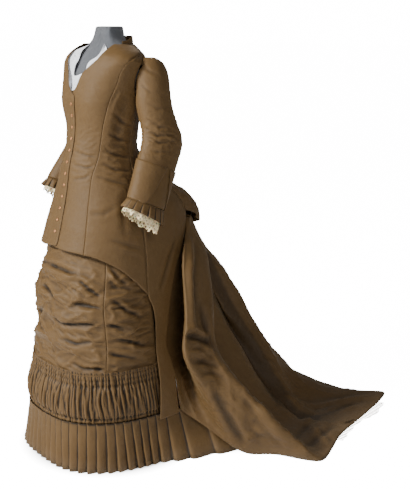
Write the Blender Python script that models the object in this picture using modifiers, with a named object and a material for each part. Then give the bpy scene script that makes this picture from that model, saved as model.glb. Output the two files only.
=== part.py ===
"""A brown silk travelling dress of about 1878, worn by a limbless dress form on a stand.

Metres, +Z up. The front of the dress looks along -Y, the wearer's left is +X and the train lies
towards +Y. The origin is on the floor under the form's pole.
"""

import math

import bmesh
import bpy
import numpy as np
from mathutils import Vector

NAME = "travelling_dress"

# Driving dimensions
SILK = 0.0016
LACE = 0.0012
SEAM_GAP = 0.00045
LAYER_GAP = 0.0005
FORM_EASE = 0.012
LAP_ANGLE = 5.0
LAP_LIFT = 0.0034
BUTTON_COUNT = 12
BUTTON_RADIUS = 0.0052
BUTTON_TOP, BUTTON_BOTTOM = 1.186, 0.778
FREE_HEIGHT = 0.80
BASE_RADIUS, BASE_HEIGHT = 0.150, 0.022
POLE_RADIUS = 0.013
FORM_BOTTOM = 0.845

# The dress's outer surface: height, half width, reach to the front, reach to the back, squareness
BODY = (
    (1.400, 0.056, 0.032, 0.090, 2.0),
    (1.385, 0.067, 0.042, 0.097, 2.0),
    (1.365, 0.112, 0.060, 0.107, 2.0),
    (1.345, 0.152, 0.078, 0.113, 2.1),
    (1.320, 0.170, 0.094, 0.117, 2.2),
    (1.290, 0.165, 0.107, 0.116, 2.2),
    (1.250, 0.153, 0.116, 0.114, 2.2),
    (1.210, 0.142, 0.121, 0.112, 2.2),
    (1.180, 0.137, 0.121, 0.109, 2.2),
    (1.140, 0.131, 0.120, 0.103, 2.2),
    (1.100, 0.125, 0.122, 0.098, 2.2),
    (1.060, 0.121, 0.129, 0.093, 2.2),
    (1.030, 0.121, 0.136, 0.098, 2.2),
    (1.000, 0.127, 0.145, 0.122, 2.2),
    (0.960, 0.142, 0.154, 0.162, 2.2),
    (0.920, 0.157, 0.161, 0.208, 2.2),
    (0.880, 0.170, 0.171, 0.252, 2.3),
    (0.840, 0.182, 0.182, 0.280, 2.3),
    (0.800, 0.191, 0.194, 0.292, 2.4),
    (0.760, 0.199, 0.206, 0.297, 2.4),
    (0.720, 0.206, 0.220, 0.300, 2.4),
    (0.660, 0.215, 0.232, 0.302, 2.4),
    (0.600, 0.223, 0.242, 0.300, 2.4),
    (0.500, 0.236, 0.250, 0.300, 2.4),
    (0.400, 0.249, 0.260, 0.300, 2.4),
    (0.300, 0.274, 0.280, 0.300, 2.4),
    (0.240, 0.284, 0.290, 0.300, 2.4),
    (0.130, 0.294, 0.300, 0.310, 2.4),
)

# The underskirt's outer surface, with the same columns
SKIRT = (
    (0.820, 0.180, 0.184, 0.250, 2.3),
    (0.760, 0.190, 0.194, 0.255, 2.3),
    (0.700, 0.196, 0.204, 0.260, 2.3),
    (0.650, 0.202, 0.212, 0.265, 2.3),
    (0.600, 0.208, 0.226, 0.270, 2.3),
    (0.550, 0.214, 0.236, 0.275, 2.4),
    (0.500, 0.220, 0.238, 0.280, 2.4),
    (0.450, 0.226, 0.238, 0.285, 2.4),
    (0.400, 0.234, 0.242, 0.290, 2.4),
    (0.338, 0.245, 0.258, 0.295, 2.5),
    (0.300, 0.250, 0.263, 0.300, 2.5),
)

# The dress form under the dress, with the same columns
FORM = (
    (1.428, 0.043, 0.008, 0.078, 2.0),
    (1.400, 0.046, 0.010, 0.081, 2.0),
    (1.375, 0.052, 0.018, 0.084, 2.0),
    (1.355, 0.092, 0.038, 0.090, 2.0),
    (1.330, 0.132, 0.062, 0.094, 2.1),
    (1.300, 0.149, 0.084, 0.097, 2.2),
    (1.250, 0.138, 0.100, 0.097, 2.2),
    (1.200, 0.126, 0.107, 0.095, 2.2),
    (1.140, 0.118, 0.106, 0.089, 2.2),
    (1.080, 0.110, 0.110, 0.082, 2.2),
    (1.030, 0.108, 0.122, 0.082, 2.2),
    (0.980, 0.121, 0.136, 0.108, 2.2),
    (0.920, 0.143, 0.148, 0.130, 2.2),
    (0.845, 0.152, 0.152, 0.138, 2.2),
)

# Heights at which every bodice panel has a row, down to where the skirt part hangs free
HEIGHTS = (
    1.383, 1.373, 1.360, 1.345, 1.330, 1.314, 1.298, 1.280, 1.255, 1.232, 1.212, 1.188, 1.155,
    1.120, 1.085, 1.055, 1.025, 0.995, 0.965, 0.930, 0.895, 0.850, 0.800,
)
FREE_ROWS = 3
STRIP_HEIGHTS = (0.575, 0.540, 0.490, 0.440, 0.390, 0.340, 0.290, 0.240, 0.195, 0.157)

# Cutting lines as height, degrees round from centre front
NECKLINE = (
    (1.232, 3.3), (1.250, 7.2), (1.276, 10.4), (1.304, 19.3), (1.330, 30.0), (1.355, 43.0),
    (1.373, 72.0), (1.394, 129.0),
)
FRONT_SEAM = (
    (1.345, 117.0), (1.334, 96.0), (1.318, 80.0), (1.290, 72.0), (1.245, 68.5), (1.193, 61.1),
    (1.128, 54.0), (1.076, 52.5), (1.022, 51.0), (0.988, 46.5), (0.957, 41.0), (0.870, 36.5),
    (0.700, 37.0),
)
SIDE_SEAM = ((1.188, 114.0), (1.130, 106.0), (1.060, 99.0), (0.950, 93.0), (0.575, 90.3))
BACK_SEAM = (
    (1.300, 149.0), (1.256, 147.0), (1.200, 149.0), (1.120, 153.0), (1.050, 156.0), (0.990, 157.5),
    (0.930, 156.0), (0.870, 152.0), (0.820, 146.0), (0.764, 135.5), (0.686, 118.8), (0.586, 108.0),
    (0.500, 102.9), (0.390, 98.5), (0.327, 100.8), (0.202, 101.5), (0.157, 102.0),
)
STRIP_FRONT_EDGE = (
    (0.575, 90.3), (0.556, 91.2), (0.487, 92.6), (0.404, 91.7), (0.290, 91.0), (0.157, 89.8),
)
# The polonaise's hem as degrees round from centre front, height
HEM = (
    (-6.0, 0.736), (7.9, 0.729), (31.7, 0.723), (51.5, 0.709), (63.8, 0.687), (75.3, 0.658),
    (85.5, 0.607), (90.3, 0.575),
)
# The armhole: its middle and half sizes as degrees round and height
ARMHOLE_ANGLE, ARMHOLE_HALF_ANGLE = 121.0, 24.0
ARMHOLE_HEIGHT, ARMHOLE_HALF_HEIGHT = 1.260, 0.070
SHOULDER_ANGLE = 120.0
# How far the neck filling reaches onto the form's chest, in degrees and metres
FILL_REACH_RIGHT, FILL_REACH_LEFT, FILL_RISE = 14.0, 2.5, 0.030
ARMHOLE_TOP = ARMHOLE_HEIGHT + ARMHOLE_HALF_HEIGHT
UNDERARM = ARMHOLE_HEIGHT - ARMHOLE_HALF_HEIGHT
FRONT_TOP, FRONT_TONGUE_TOP, BACK_TONGUE_TOP = 1.373, 1.346, 1.256
BACK_TOP, BACK_BOTTOM = 1.374, 0.895

# The sleeve's rings below the armhole: centre x, y, z, half width, half depth, turn up, lean
SLEEVE = (
    (0.157, 0.077, 1.262, 0.070, 0.059, 76.0, 3.0),
    (0.164, 0.078, 1.243, 0.064, 0.060, 57.0, 5.0),
    (0.169, 0.075, 1.215, 0.054, 0.061, 34.0, 8.0),
    (0.177, 0.074, 1.180, 0.048, 0.061, 18.0, 10.0),
    (0.186, 0.079, 1.140, 0.046, 0.062, 6.0, 8.0),
    (0.192, 0.087, 1.104, 0.045, 0.069, 2.0, 2.0),
    (0.197, 0.090, 1.078, 0.046, 0.077, 0.0, -8.0),
    (0.203, 0.080, 1.046, 0.046, 0.075, 0.0, -16.0),
    (0.211, 0.059, 1.008, 0.046, 0.073, 0.0, -22.0),
    (0.224, 0.032, 0.962, 0.045, 0.070, 0.0, -25.0),
    (0.238, 0.006, 0.918, 0.044, 0.069, 0.0, -25.0),
    (0.247, -0.016, 0.880, 0.043, 0.068, 0.0, -25.0),
)
SLEEVE_END_RING = 11.9
ARMHOLE_LAP, ARMHOLE_LIFT = 1.03, 0.0027
CUFF_TOP_RING, CUFF_END_RING, CUFF_LIFT = 9.3, 11.95, 0.0042
RUFFLE_RING, RUFFLE_LIFT, LACE_LIFT = 11.96, 0.0021, -0.0003
RUFFLE_PLEATS, RUFFLE_LENGTH, RUFFLE_FLARE = 18, 0.040, 0.014
LACE_WAVES, LACE_LENGTH = 12, 0.062

# The underskirt's soft cross folds: height at the right side, front and left side, depth, width
DRAPES = (
    ("under the hem", 0.690, 0.668, 0.600, 0.010, 0.018),
    ("long sweep", 0.605, 0.640, 0.545, 0.013, 0.022),
    ("first pull", 0.575, 0.580, 0.500, 0.011, 0.015),
    ("broad roll", 0.505, 0.532, 0.460, 0.015, 0.024),
    ("middle pull", 0.480, 0.458, 0.420, 0.011, 0.015),
    ("low roll", 0.412, 0.412, 0.378, 0.013, 0.020),
    ("above the flounce", 0.374, 0.360, 0.356, 0.007, 0.010),
)
SKIRT_TOP, SKIRT_BOTTOM = 0.800, 0.324
SKIRT_SEAM, SKIRT_END = 57.0, 93.5

# The skirt's foot: degrees round, then the place at the lower band and on the floor
BAND_HEIGHT = 0.138
FOOT = (
    (0.0, 0.000, -0.281, 0.000, -0.284),
    (22.0, 0.100, -0.269, 0.112, -0.277),
    (38.0, 0.172, -0.229, 0.186, -0.243),
    (54.0, 0.226, -0.165, 0.243, -0.172),
    (70.0, 0.254, -0.090, 0.273, -0.085),
    (88.0, 0.267, 0.000, 0.290, 0.000),
    (98.0, 0.273, 0.078, 0.328, 0.075),
    (104.0, 0.288, 0.150, 0.354, 0.155),
    (108.0, 0.302, 0.220, 0.377, 0.228),
    (112.0, 0.312, 0.285, 0.393, 0.290),
)
PUFF_TOP, PUFF_BOTTOM, PUFF_END = 0.338, 0.157, 98.0
GATHERS, GATHER_DEPTH, GATHER_SLANT = 22, 0.0068, 1.4
PLEATS, PLEAT_DEPTH, PLEAT_END = 19, 0.012, 112.0

# The train's folds from the wearer's left to right, each at six heights from bustle to hem
TRAIN = (
    ("valley 1", (0.118, 0.222, 0.788), (0.146, 0.222, 0.660), (0.150, 0.215, 0.480),
     (0.200, 0.180, 0.340), (0.270, 0.150, 0.235), (0.344, 0.150, 0.105)),
    ("ridge 1", (0.134, 0.248, 0.786), (0.232, 0.143, 0.672), (0.300, 0.100, 0.500),
     (0.350, 0.052, 0.385), (0.384, 0.122, 0.230), (0.430, 0.245, 0.012)),
    ("broad face", (0.122, 0.262, 0.786), (0.228, 0.200, 0.660), (0.290, 0.170, 0.490),
     (0.362, 0.140, 0.355), (0.445, 0.205, 0.190), (0.505, 0.330, 0.005)),
    ("ridge 2", (0.108, 0.276, 0.785), (0.182, 0.289, 0.652), (0.276, 0.243, 0.480),
     (0.342, 0.206, 0.362), (0.472, 0.268, 0.212), (0.625, 0.405, 0.004)),
    ("valley 2", (0.092, 0.268, 0.784), (0.088, 0.305, 0.655), (0.118, 0.312, 0.480),
     (0.194, 0.312, 0.330), (0.368, 0.380, 0.092), (0.606, 0.490, 0.004)),
    ("slope", (0.078, 0.284, 0.782), (0.090, 0.358, 0.640), (0.118, 0.448, 0.440),
     (0.172, 0.520, 0.280), (0.330, 0.600, 0.040), (0.536, 0.620, 0.004)),
    ("low fold", (0.060, 0.296, 0.780), (0.066, 0.376, 0.645), (0.086, 0.480, 0.440),
     (0.130, 0.575, 0.270), (0.285, 0.690, 0.024), (0.484, 0.790, 0.004)),
    ("tip ridge", (0.042, 0.304, 0.778), (0.046, 0.390, 0.652), (0.056, 0.510, 0.450),
     (0.085, 0.625, 0.270), (0.225, 0.775, 0.066), (0.405, 1.020, 0.012)),
    ("far dip", (0.022, 0.306, 0.776), (0.022, 0.398, 0.660), (0.024, 0.525, 0.462),
     (0.038, 0.660, 0.270), (0.140, 0.815, 0.036), (0.300, 0.950, 0.005)),
    ("centre back", (0.000, 0.308, 0.776), (-0.004, 0.404, 0.667), (-0.004, 0.535, 0.480),
     (0.000, 0.690, 0.262), (0.032, 0.805, 0.085), (0.150, 0.920, 0.004)),
    ("right ridge 1", (-0.040, 0.304, 0.777), (-0.056, 0.404, 0.652), (-0.080, 0.530, 0.462),
     (-0.098, 0.645, 0.270), (-0.108, 0.750, 0.092), (-0.090, 0.850, 0.004)),
    ("right valley 1", (-0.068, 0.280, 0.780), (-0.078, 0.352, 0.652), (-0.104, 0.400, 0.462),
     (-0.134, 0.470, 0.270), (-0.176, 0.560, 0.092), (-0.215, 0.700, 0.004)),
    ("right ridge 2", (-0.098, 0.278, 0.784), (-0.152, 0.330, 0.656), (-0.212, 0.358, 0.470),
     (-0.266, 0.392, 0.290), (-0.324, 0.445, 0.132), (-0.392, 0.545, 0.004)),
    ("right valley 2", (-0.112, 0.252, 0.786), (-0.150, 0.252, 0.660), (-0.182, 0.236, 0.472),
     (-0.240, 0.258, 0.310), (-0.336, 0.322, 0.165), (-0.436, 0.385, 0.006)),
    ("right ridge 3", (-0.134, 0.248, 0.786), (-0.238, 0.170, 0.664), (-0.284, 0.135, 0.480),
     (-0.318, 0.120, 0.340), (-0.362, 0.148, 0.210), (-0.425, 0.222, 0.045)),
    ("right valley 3", (-0.118, 0.222, 0.788), (-0.146, 0.222, 0.660), (-0.150, 0.215, 0.480),
     (-0.200, 0.180, 0.340), (-0.270, 0.150, 0.235), (-0.344, 0.150, 0.105)),
)
TRAIN_EDGE_HEIGHTS = (0.790, 0.665, 0.500, 0.360, 0.250, 0.165)
TRAIN_EDGE_TUCK, TRAIN_EDGE_DEPTH = 4.0, 0.005
TRAIN_COLUMNS_PER_FOLD, TRAIN_ROWS, TRAIN_SEAM = 2, 13, 0.008
FLOOR_LIFT, HEM_LIFT = 0.0038, 0.0012

# The bustle puff's profile: how far down, reach behind the axis and height at centre back
PUFF_PROFILE = (
    (0.00, 0.230, 0.906),
    (0.18, 0.265, 0.884),
    (0.38, 0.308, 0.850),
    (0.56, 0.338, 0.814),
    (0.74, 0.353, 0.776),
    (0.90, 0.359, 0.748),
    (1.00, 0.360, 0.734),
)
BUSTLE_HALF_WIDTH, BUSTLE_FOLDS, BUSTLE_FOLD_DEPTH, PUFF_LIFT = 0.122, 4, 0.010, 0.0032

# Colours as red, green, blue in linear light, roughness, metallic
FINISHES = {
    "silk": ((0.240, 0.160, 0.080), 0.55, 0.0),
    "lining": ((0.700, 0.690, 0.680), 0.80, 0.0),
    "lace": ((0.720, 0.660, 0.540), 0.85, 0.0),
    "button": ((0.330, 0.120, 0.050), 0.35, 0.6),
    "form": ((0.070, 0.080, 0.090), 0.90, 0.0),
    "stand": ((0.050, 0.050, 0.055), 0.45, 0.6),
}


def clear_scene():
    for old in list(bpy.data.objects):
        bpy.data.objects.remove(old, do_unlink=True)


def new_collection():
    collection = bpy.data.collections.new(NAME)
    bpy.context.scene.collection.children.link(collection)
    return collection


def material(name, finish):
    colour, roughness, metallic = FINISHES[finish]
    made = bpy.data.materials.new(name)
    made.use_nodes = True
    shader = made.node_tree.nodes["Principled BSDF"]
    shader.inputs["Base Color"].default_value = (*colour, 1.0)
    shader.inputs["Roughness"].default_value = roughness
    shader.inputs["Metallic"].default_value = metallic
    return made


def smooth_between(knots, values, place):
    """The value at this place on a smooth curve through the values at rising knots."""
    values = np.asarray(values, float)
    last = len(knots) - 1
    if place <= knots[0]:
        return values[0]
    if place >= knots[last]:
        return values[last]
    at = next(i for i in range(last) if place <= knots[i + 1])
    span = knots[at + 1] - knots[at]
    t = (place - knots[at]) / span

    def slope(i):
        low, high = max(i - 1, 0), min(i + 1, last)
        return (values[high] - values[low]) / (knots[high] - knots[low]) * span

    return (
        (2 * t**3 - 3 * t**2 + 1) * values[at]
        + (t**3 - 2 * t**2 + t) * slope(at)
        + (3 * t**2 - 2 * t**3) * values[at + 1]
        + (t**3 - t**2) * slope(at + 1)
    )


def read_table(rows, place):
    """The columns after the first, read smoothly at a place in the first."""
    rows = sorted(rows)
    return smooth_between([r[0] for r in rows], [r[1:] for r in rows], place)


def angle_on(line, height):
    return float(read_table(line, height)[0])


def ease(low, high, value):
    t = min(max((value - low) / (high - low), 0.0), 1.0)
    return t * t * (3 - 2 * t)


def bump(value, centre, width):
    return math.exp(-(((value - centre) / width) ** 2))


def ring_point(table, degrees, height):
    half_width, front, back, square = read_table(table, height)
    sine, cosine = math.sin(math.radians(degrees)), math.cos(math.radians(degrees))
    reach = front if cosine > 0 else back
    x = half_width * math.copysign(abs(sine) ** (2 / square), sine)
    y = -reach * math.copysign(abs(cosine) ** (2 / square), cosine)
    return Vector((x, y, height))


def on_body(degrees, height):
    """The dress's outer surface, with the bust put in by the darts."""
    point = ring_point(BODY, degrees, height)
    if abs(degrees) < 90:
        bust = 0.07 * bump(height, 1.185, 0.055) * bump(abs(degrees), 33, 22)
        point.x *= 1 + bust
        point.y *= 1 + bust
    return point


def on_skirt(degrees, height):
    """The underskirt's outer surface with its soft cross folds, calm at its edges."""
    point = ring_point(SKIRT, degrees, height)
    fold = 0.0
    for _, right, front, left, depth, width in DRAPES:
        middle = smooth_between((-100, 0, 100), (right, front, left), degrees)
        sway = 0.012 * math.sin(math.radians(degrees * 3.1 + right * 1900))
        fold += depth * bump(height, middle + sway, width)
    fold *= ease(0.330, 0.375, height) * (1 - ease(78, 91, abs(degrees)))
    fold -= 0.008 * ease(0.60, 0.72, height)
    outward = Vector((point.x, point.y, 0)).normalized()
    return point + outward * fold


def lifted(surface, degrees, height, lift):
    """A point of the surface, moved out along its normal."""
    step, drop = 0.5, 0.002
    point = surface(degrees, height)
    if lift == 0:
        return point
    across = surface(degrees + step, height) - surface(degrees - step, height)
    down = surface(degrees, height - drop) - surface(degrees, height + drop)
    return point + down.cross(across).normalized() * lift


def put(collection, name, mesh, finish):
    mesh.materials.append(material(name, finish))
    made = bpy.data.objects.new(name, mesh)
    collection.objects.link(made)
    mesh.shade_smooth()
    mesh.set_sharp_from_angle(angle=math.radians(50))
    return made


def mirrored_points(points):
    return [[Vector((-p.x, p.y, p.z)) for p in reversed(row)] for row in points]


def quads(shape, grid, closed=False, inward=False):
    """Faces between rows of vertices read downwards and from front to left, facing out."""
    count = len(grid[0])
    for upper, lower in zip(grid, grid[1:]):
        for i in range(count if closed else count - 1):
            j = (i + 1) % count
            face = (upper[i], lower[i], lower[j], upper[j])
            shape.faces.new((face[0], face[3], face[2], face[1]) if inward else face)


def cloth(collection, name, points, finish="silk", wall=SILK, closed=False, mirrored=False):
    """A cloth wall from rows of points of its outer face."""
    mesh = bpy.data.meshes.new(name)
    shape = bmesh.new()
    points = mirrored_points(points) if mirrored else points
    quads(shape, [[shape.verts.new(p) for p in row] for row in points], closed)
    shape.to_mesh(mesh)
    shape.free()
    made = put(collection, name, mesh, finish)
    thick = made.modifiers.new("wall", "SOLIDIFY")
    thick.thickness = wall
    thick.offset = -1
    return made


def panel(collection, name, place, rows, mirrored=False):
    """A cloth wall lofted between an outer and an inner face; place(spot, lift) gives a point."""
    mesh = bpy.data.meshes.new(name)
    shape = bmesh.new()
    grids = []
    for lift in (0.0, -SILK):
        points = [[place(spot, lift) for spot in row] for row in rows]
        points = mirrored_points(points) if mirrored else points
        grids.append([[shape.verts.new(p) for p in row] for row in points])
    outer, inner = grids
    quads(shape, outer)
    quads(shape, inner, inward=True)
    quads(shape, [inner[0], outer[0]])
    quads(shape, [outer[-1], inner[-1]])
    quads(shape, [[row[0] for row in grid] for grid in (outer, inner)])
    quads(shape, [[row[-1] for row in grid] for grid in (inner, outer)])
    shape.to_mesh(mesh)
    shape.free()
    return put(collection, name, mesh, finish="silk")


def spread(low, high, cells):
    return [low + (high - low) * i / cells for i in range(cells + 1)]


def hem_height(degrees):
    return float(read_table(HEM, degrees)[0])


def row_places(top):
    """Fixed heights from the top down, then the free rows as shares of the way to the hem."""
    fixed = [(h, 0.0) for h in HEIGHTS if h <= top + 1e-6]
    return fixed + [(FREE_HEIGHT, (k + 1) / FREE_ROWS) for k in range(FREE_ROWS)]


def cut_edge(line, height, share):
    """Where a cutting line meets a row that has fallen by a share of its way to the hem."""
    degrees = line(height)
    for _ in range(4 if share else 0):
        degrees = line(height - share * (FREE_HEIGHT - hem_height(degrees)))
    return degrees


def cut_panel(rows, near, far, cells):
    """The spots of a panel between two cutting lines, each given as degrees at a height."""
    spots = []
    for height, share in rows:
        seam = math.degrees(SEAM_GAP / 2 / ring_point(BODY, 90, height).x)
        start, end = cut_edge(near, height, share), cut_edge(far, height, share)
        turns = spread(start + seam, end - seam, cells)
        spots.append([(a, height - share * (FREE_HEIGHT - hem_height(a))) for a in turns])
    return spots


def on_bodice(spot, lift):
    return lifted(on_body, *spot, lift)


def on_lapped_front(spot, lift):
    """The right front rises over the left one at the buttons."""
    return lifted(on_body, *spot, lift + LAP_LIFT * (1 - ease(8.0, 20.0, spot[0])))


def armhole_angle(height, side):
    """Where the armhole's front (-1) or back (+1) edge lies at a height."""
    t = (height - ARMHOLE_HEIGHT) / ARMHOLE_HALF_HEIGHT
    return ARMHOLE_ANGLE + side * ARMHOLE_HALF_ANGLE * math.sqrt(max(1 - t * t, 0.0))


def front_near_edge(height):
    v_point = NECKLINE[0][0]
    return angle_on(NECKLINE, height) if height >= v_point - 1e-6 else -LAP_ANGLE


def front_far_edge(height):
    return SHOULDER_ANGLE if height > FRONT_TONGUE_TOP else angle_on(FRONT_SEAM, height)


def back_near_edge(height):
    if height >= ARMHOLE_TOP:
        return SHOULDER_ANGLE
    if height > BACK_TONGUE_TOP:
        return armhole_angle(height, 1)
    return angle_on(BACK_SEAM, height)


def side_front_far_edge(height):
    if height >= ARMHOLE_TOP:
        return SHOULDER_ANGLE
    return armhole_angle(height, -1) if height > UNDERARM else angle_on(SIDE_SEAM, height)


def side_back_near_edge(height):
    return armhole_angle(height, 1) if height > UNDERARM else angle_on(SIDE_SEAM, height)


def add_bodice(collection):
    front = cut_panel(row_places(FRONT_TOP), front_near_edge, front_far_edge, 5)
    side_front = cut_panel(
        row_places(FRONT_TONGUE_TOP), lambda h: angle_on(FRONT_SEAM, h), side_front_far_edge, 4
    )
    side_back = cut_panel(
        row_places(BACK_TONGUE_TOP), side_back_near_edge, lambda h: angle_on(BACK_SEAM, h), 4
    ) + cut_panel(
        [(h, 0.0) for h in STRIP_HEIGHTS[1:]],
        lambda h: angle_on(STRIP_FRONT_EDGE, h),
        lambda h: angle_on(BACK_SEAM, h),
        4,
    )
    back_rows = [(h, 0.0) for h in HEIGHTS if BACK_BOTTOM <= h <= BACK_TOP]
    back = cut_panel(back_rows, back_near_edge, lambda h: 180.0, 4)
    for side, mirrored in (("left", False), ("right", True)):
        place = on_lapped_front if mirrored else on_bodice
        panel(collection, f"bodice_front_{side}", place, front, mirrored)
        panel(collection, f"bodice_side_front_{side}", on_bodice, side_front, mirrored)
        panel(collection, f"bodice_side_back_{side}", on_bodice, side_back, mirrored)
        panel(collection, f"bodice_back_{side}", on_bodice, back, mirrored)


def add_collar(collection):
    """A small stand collar round the back of the neck."""
    start, height_back, height_end = 99.0, 0.024, 0.008
    rows = []
    for share in (1.0, 0.5, 0.0):
        row = []
        for degrees in spread(start, 360 - start, 14):
            back = ease(start, 150, min(degrees, 360 - degrees))
            stand = height_end + (height_back - height_end) * back
            foot = ring_point(BODY, degrees, 1.3734)
            row.append(foot + Vector((0, -0.12 * stand * share, stand * share)))
        rows.append(row)
    cloth(collection, "collar", rows)


def fill_edge(side, height, degrees):
    """The cotton's free edge on the form's chest: wide on the right, and up from the point of the V."""
    up = ease(NECKLINE[5][0], NECKLINE[0][0], height)
    inwards = (FILL_REACH_RIGHT if side < 0 else FILL_REACH_LEFT) * (1 - up)
    crinkle = 0.0016 * math.sin(height * 510 - side)
    level, clear = height + 0.010 + FILL_RISE * up, 0.0085 - 0.0037 * up
    point = lifted(lambda a, h: ring_point(FORM, a, h), degrees - inwards, level, clear)
    return Vector((side * point.x, point.y + crinkle, point.z - crinkle))


def add_neck_fill(collection):
    """White cotton between the neckline and the form, crinkled at its free edge."""
    steps = [h for h, _ in NECKLINE[:6]]
    heights = spread(steps[0], steps[-1], 8)
    edge = [(-1, h) for h in reversed(heights)] + [(1, h) for h in heights[1:]]
    rows = []
    for share in (2.0, 1.0, 0.5, 0.0):
        row = []
        for side, height in edge:
            degrees = angle_on(NECKLINE, height) + 3.0
            if share > 1:
                row.append(fill_edge(side, height, degrees))
                continue
            under = lifted(on_body, degrees, height - 0.006, -SILK - 3 * LAYER_GAP)
            form = lifted(lambda a, h: ring_point(FORM, a, h), degrees, height + 0.008, 0.0048)
            crinkle = 0.0016 * math.sin(height * 620 + side) * share
            point = under.lerp(form, share) + Vector((0, crinkle, 0.3 * crinkle))
            row.append(Vector((side * point.x, point.y, point.z)))
        rows.append(row)
    cloth(collection, "neck_fill", rows, finish="lining", wall=LACE)


def add_buttons(collection):
    for i, height in enumerate(spread(BUTTON_TOP, BUTTON_BOTTOM, BUTTON_COUNT - 1)):
        name = f"button_{i + 1:02d}"
        rise = LAP_LIFT + BUTTON_RADIUS * 0.5 + 0.0004 - 0.0005 * ease(1, 4, i)
        place = lifted(on_body, 0.0, height, rise)
        normal = place - on_body(0.0, height)
        shape = bmesh.new()
        bmesh.ops.create_uvsphere(shape, u_segments=8, v_segments=4, radius=BUTTON_RADIUS)
        bmesh.ops.scale(shape, vec=(1, 1, 0.5), verts=shape.verts)
        mesh = bpy.data.meshes.new(name)
        shape.to_mesh(mesh)
        shape.free()
        button = put(collection, name, mesh, "button")
        button.location = place
        button.rotation_euler = normal.to_track_quat("Z", "Y").to_euler()


def armhole_point(turn, lift):
    """The armhole on the body: turn 0 is the top, 90 the back, 180 the underarm."""
    across, along = math.sin(math.radians(turn)), math.cos(math.radians(turn))
    degrees = ARMHOLE_ANGLE + ARMHOLE_HALF_ANGLE * ARMHOLE_LAP * across
    height = ARMHOLE_HEIGHT + ARMHOLE_HALF_HEIGHT * ARMHOLE_LAP * along
    return lifted(on_body, degrees, height, ARMHOLE_LIFT + lift)


def on_sleeve(spot, lift=0.0):
    """The left sleeve's outer surface. A spot is a ring, counted down from the armhole, and a
    turn: 0 is outside, 90 the back seam, 180 inside and -90 the front seam."""
    ring, turn = spot
    if ring < 1:
        return armhole_point(turn, lift).lerp(on_sleeve((1, turn), lift), ring)
    row = smooth_between(range(1, len(SLEEVE) + 1), SLEEVE, ring)
    x, y, z, half_width, half_depth, turn_up, lean = row
    sine, cosine = math.sin(math.radians(turn)), math.cos(math.radians(turn))
    up, back = math.radians(turn_up), math.radians(lean)
    outer = Vector((math.cos(up), 0, math.sin(up)))
    behind = Vector((0, math.cos(back), math.sin(back)))
    centre = Vector((x, y, z))
    return centre + outer * (half_width + lift) * cosine + behind * (half_depth + lift) * sine


def add_sleeve(collection, side, mirrored):
    rings = [0.0, 0.5] + spread(1.0, SLEEVE_END_RING, 12)
    gap = math.degrees(SEAM_GAP * 0.75 / SLEEVE[-1][3])
    for piece, start, end in (("upper", -90, 90), ("under", 90, 270)):
        spots = [[(r, a) for a in spread(start + gap, end - gap, 8)] for r in rings]
        panel(collection, f"sleeve_{piece}_{side}", on_sleeve, spots, mirrored)


def add_cuff(collection, side, mirrored):
    """A shaped cuff laid on the sleeve, its two ends parted in a long notch outside."""
    rows = []
    for share in spread(0, 1, 3):
        ring = CUFF_TOP_RING + (CUFF_END_RING - CUFF_TOP_RING) * share
        notch_back, notch_front = 18 + 44 * share, 8 - 34 * share
        rows.append([(ring, a) for a in spread(notch_back, 360 + notch_front, 17)])
    panel(
        collection, f"cuff_{side}", lambda spot, lift: on_sleeve(spot, lift + CUFF_LIFT), rows, mirrored
    )


def frill_point(turn, down, flare):
    """A point below the sleeve's end, down along the arm and out by the flare."""
    lean = math.radians(SLEEVE[-1][6])
    along = Vector((0.0, math.sin(lean), -math.cos(lean)))
    return on_sleeve((RUFFLE_RING, turn), flare) + along * down


def longer_behind(turn, front, back):
    return front + (back - front) * (1 + math.sin(math.radians(turn))) / 2


def outside(turn):
    """How much a frill may stand out: less on the side next to the hip."""
    return 0.6 + 0.4 * math.cos(math.radians(turn))


def add_cuff_ruffle(collection, side, mirrored):
    """Knife pleats round the wrist, longer behind than in front."""
    profile = ((0.0, 1.0), (0.62, 0.25), (0.86, 0.0))
    rows = []
    for share in (0.0, 1.0):
        row = []
        for pleat in range(RUFFLE_PLEATS):
            for along, out in profile:
                turn = -90 + (pleat + along) * 360 / RUFFLE_PLEATS
                flare = RUFFLE_LIFT + (RUFFLE_FLARE * outside(turn) + 0.006 * out) * share
                down = RUFFLE_LENGTH * longer_behind(turn, 0.75, 1.15) * share
                row.append(frill_point(turn, down, flare))
        rows.append(row)
    cloth(collection, f"cuff_ruffle_{side}", rows, closed=True, mirrored=mirrored)


def add_cuff_lace(collection, side, mirrored):
    """Gathered lace under the ruffle, hanging past it in soft waves."""
    columns = LACE_WAVES * 3
    rows = []
    for share in (0.0, 0.5, 1.0):
        row = []
        for i in range(columns):
            turn = i * 360 / columns
            wave = math.sin(math.radians(turn * LACE_WAVES))
            scallop = 0.0035 * math.cos(math.radians(turn * LACE_WAVES * 2)) * share
            down = 0.002 + LACE_LENGTH * longer_behind(turn, 0.70, 1.20) * share + scallop
            row.append(frill_point(turn, down, LACE_LIFT + (0.002 + 0.004 * wave) * share))
        rows.append(row)
    cloth(collection, f"cuff_lace_{side}", rows, "lace", LACE, closed=True, mirrored=mirrored)


def skirt_point(degrees, height):
    """The underskirt, brought against the bodice at its top and the flounce at its foot."""
    point = lifted(on_skirt, degrees, height, 0.0)
    top = ease(0.755, SKIRT_TOP, height)
    if top > 0:
        point = point.lerp(lifted(on_body, degrees, height, -SILK - 4 * LAYER_GAP), top)
    foot = (SILK + 6 * LAYER_GAP) * (1 - ease(PUFF_TOP, 0.40, height))
    outward = Vector((point.x, point.y, 0)).normalized()
    return point - outward * foot


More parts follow.
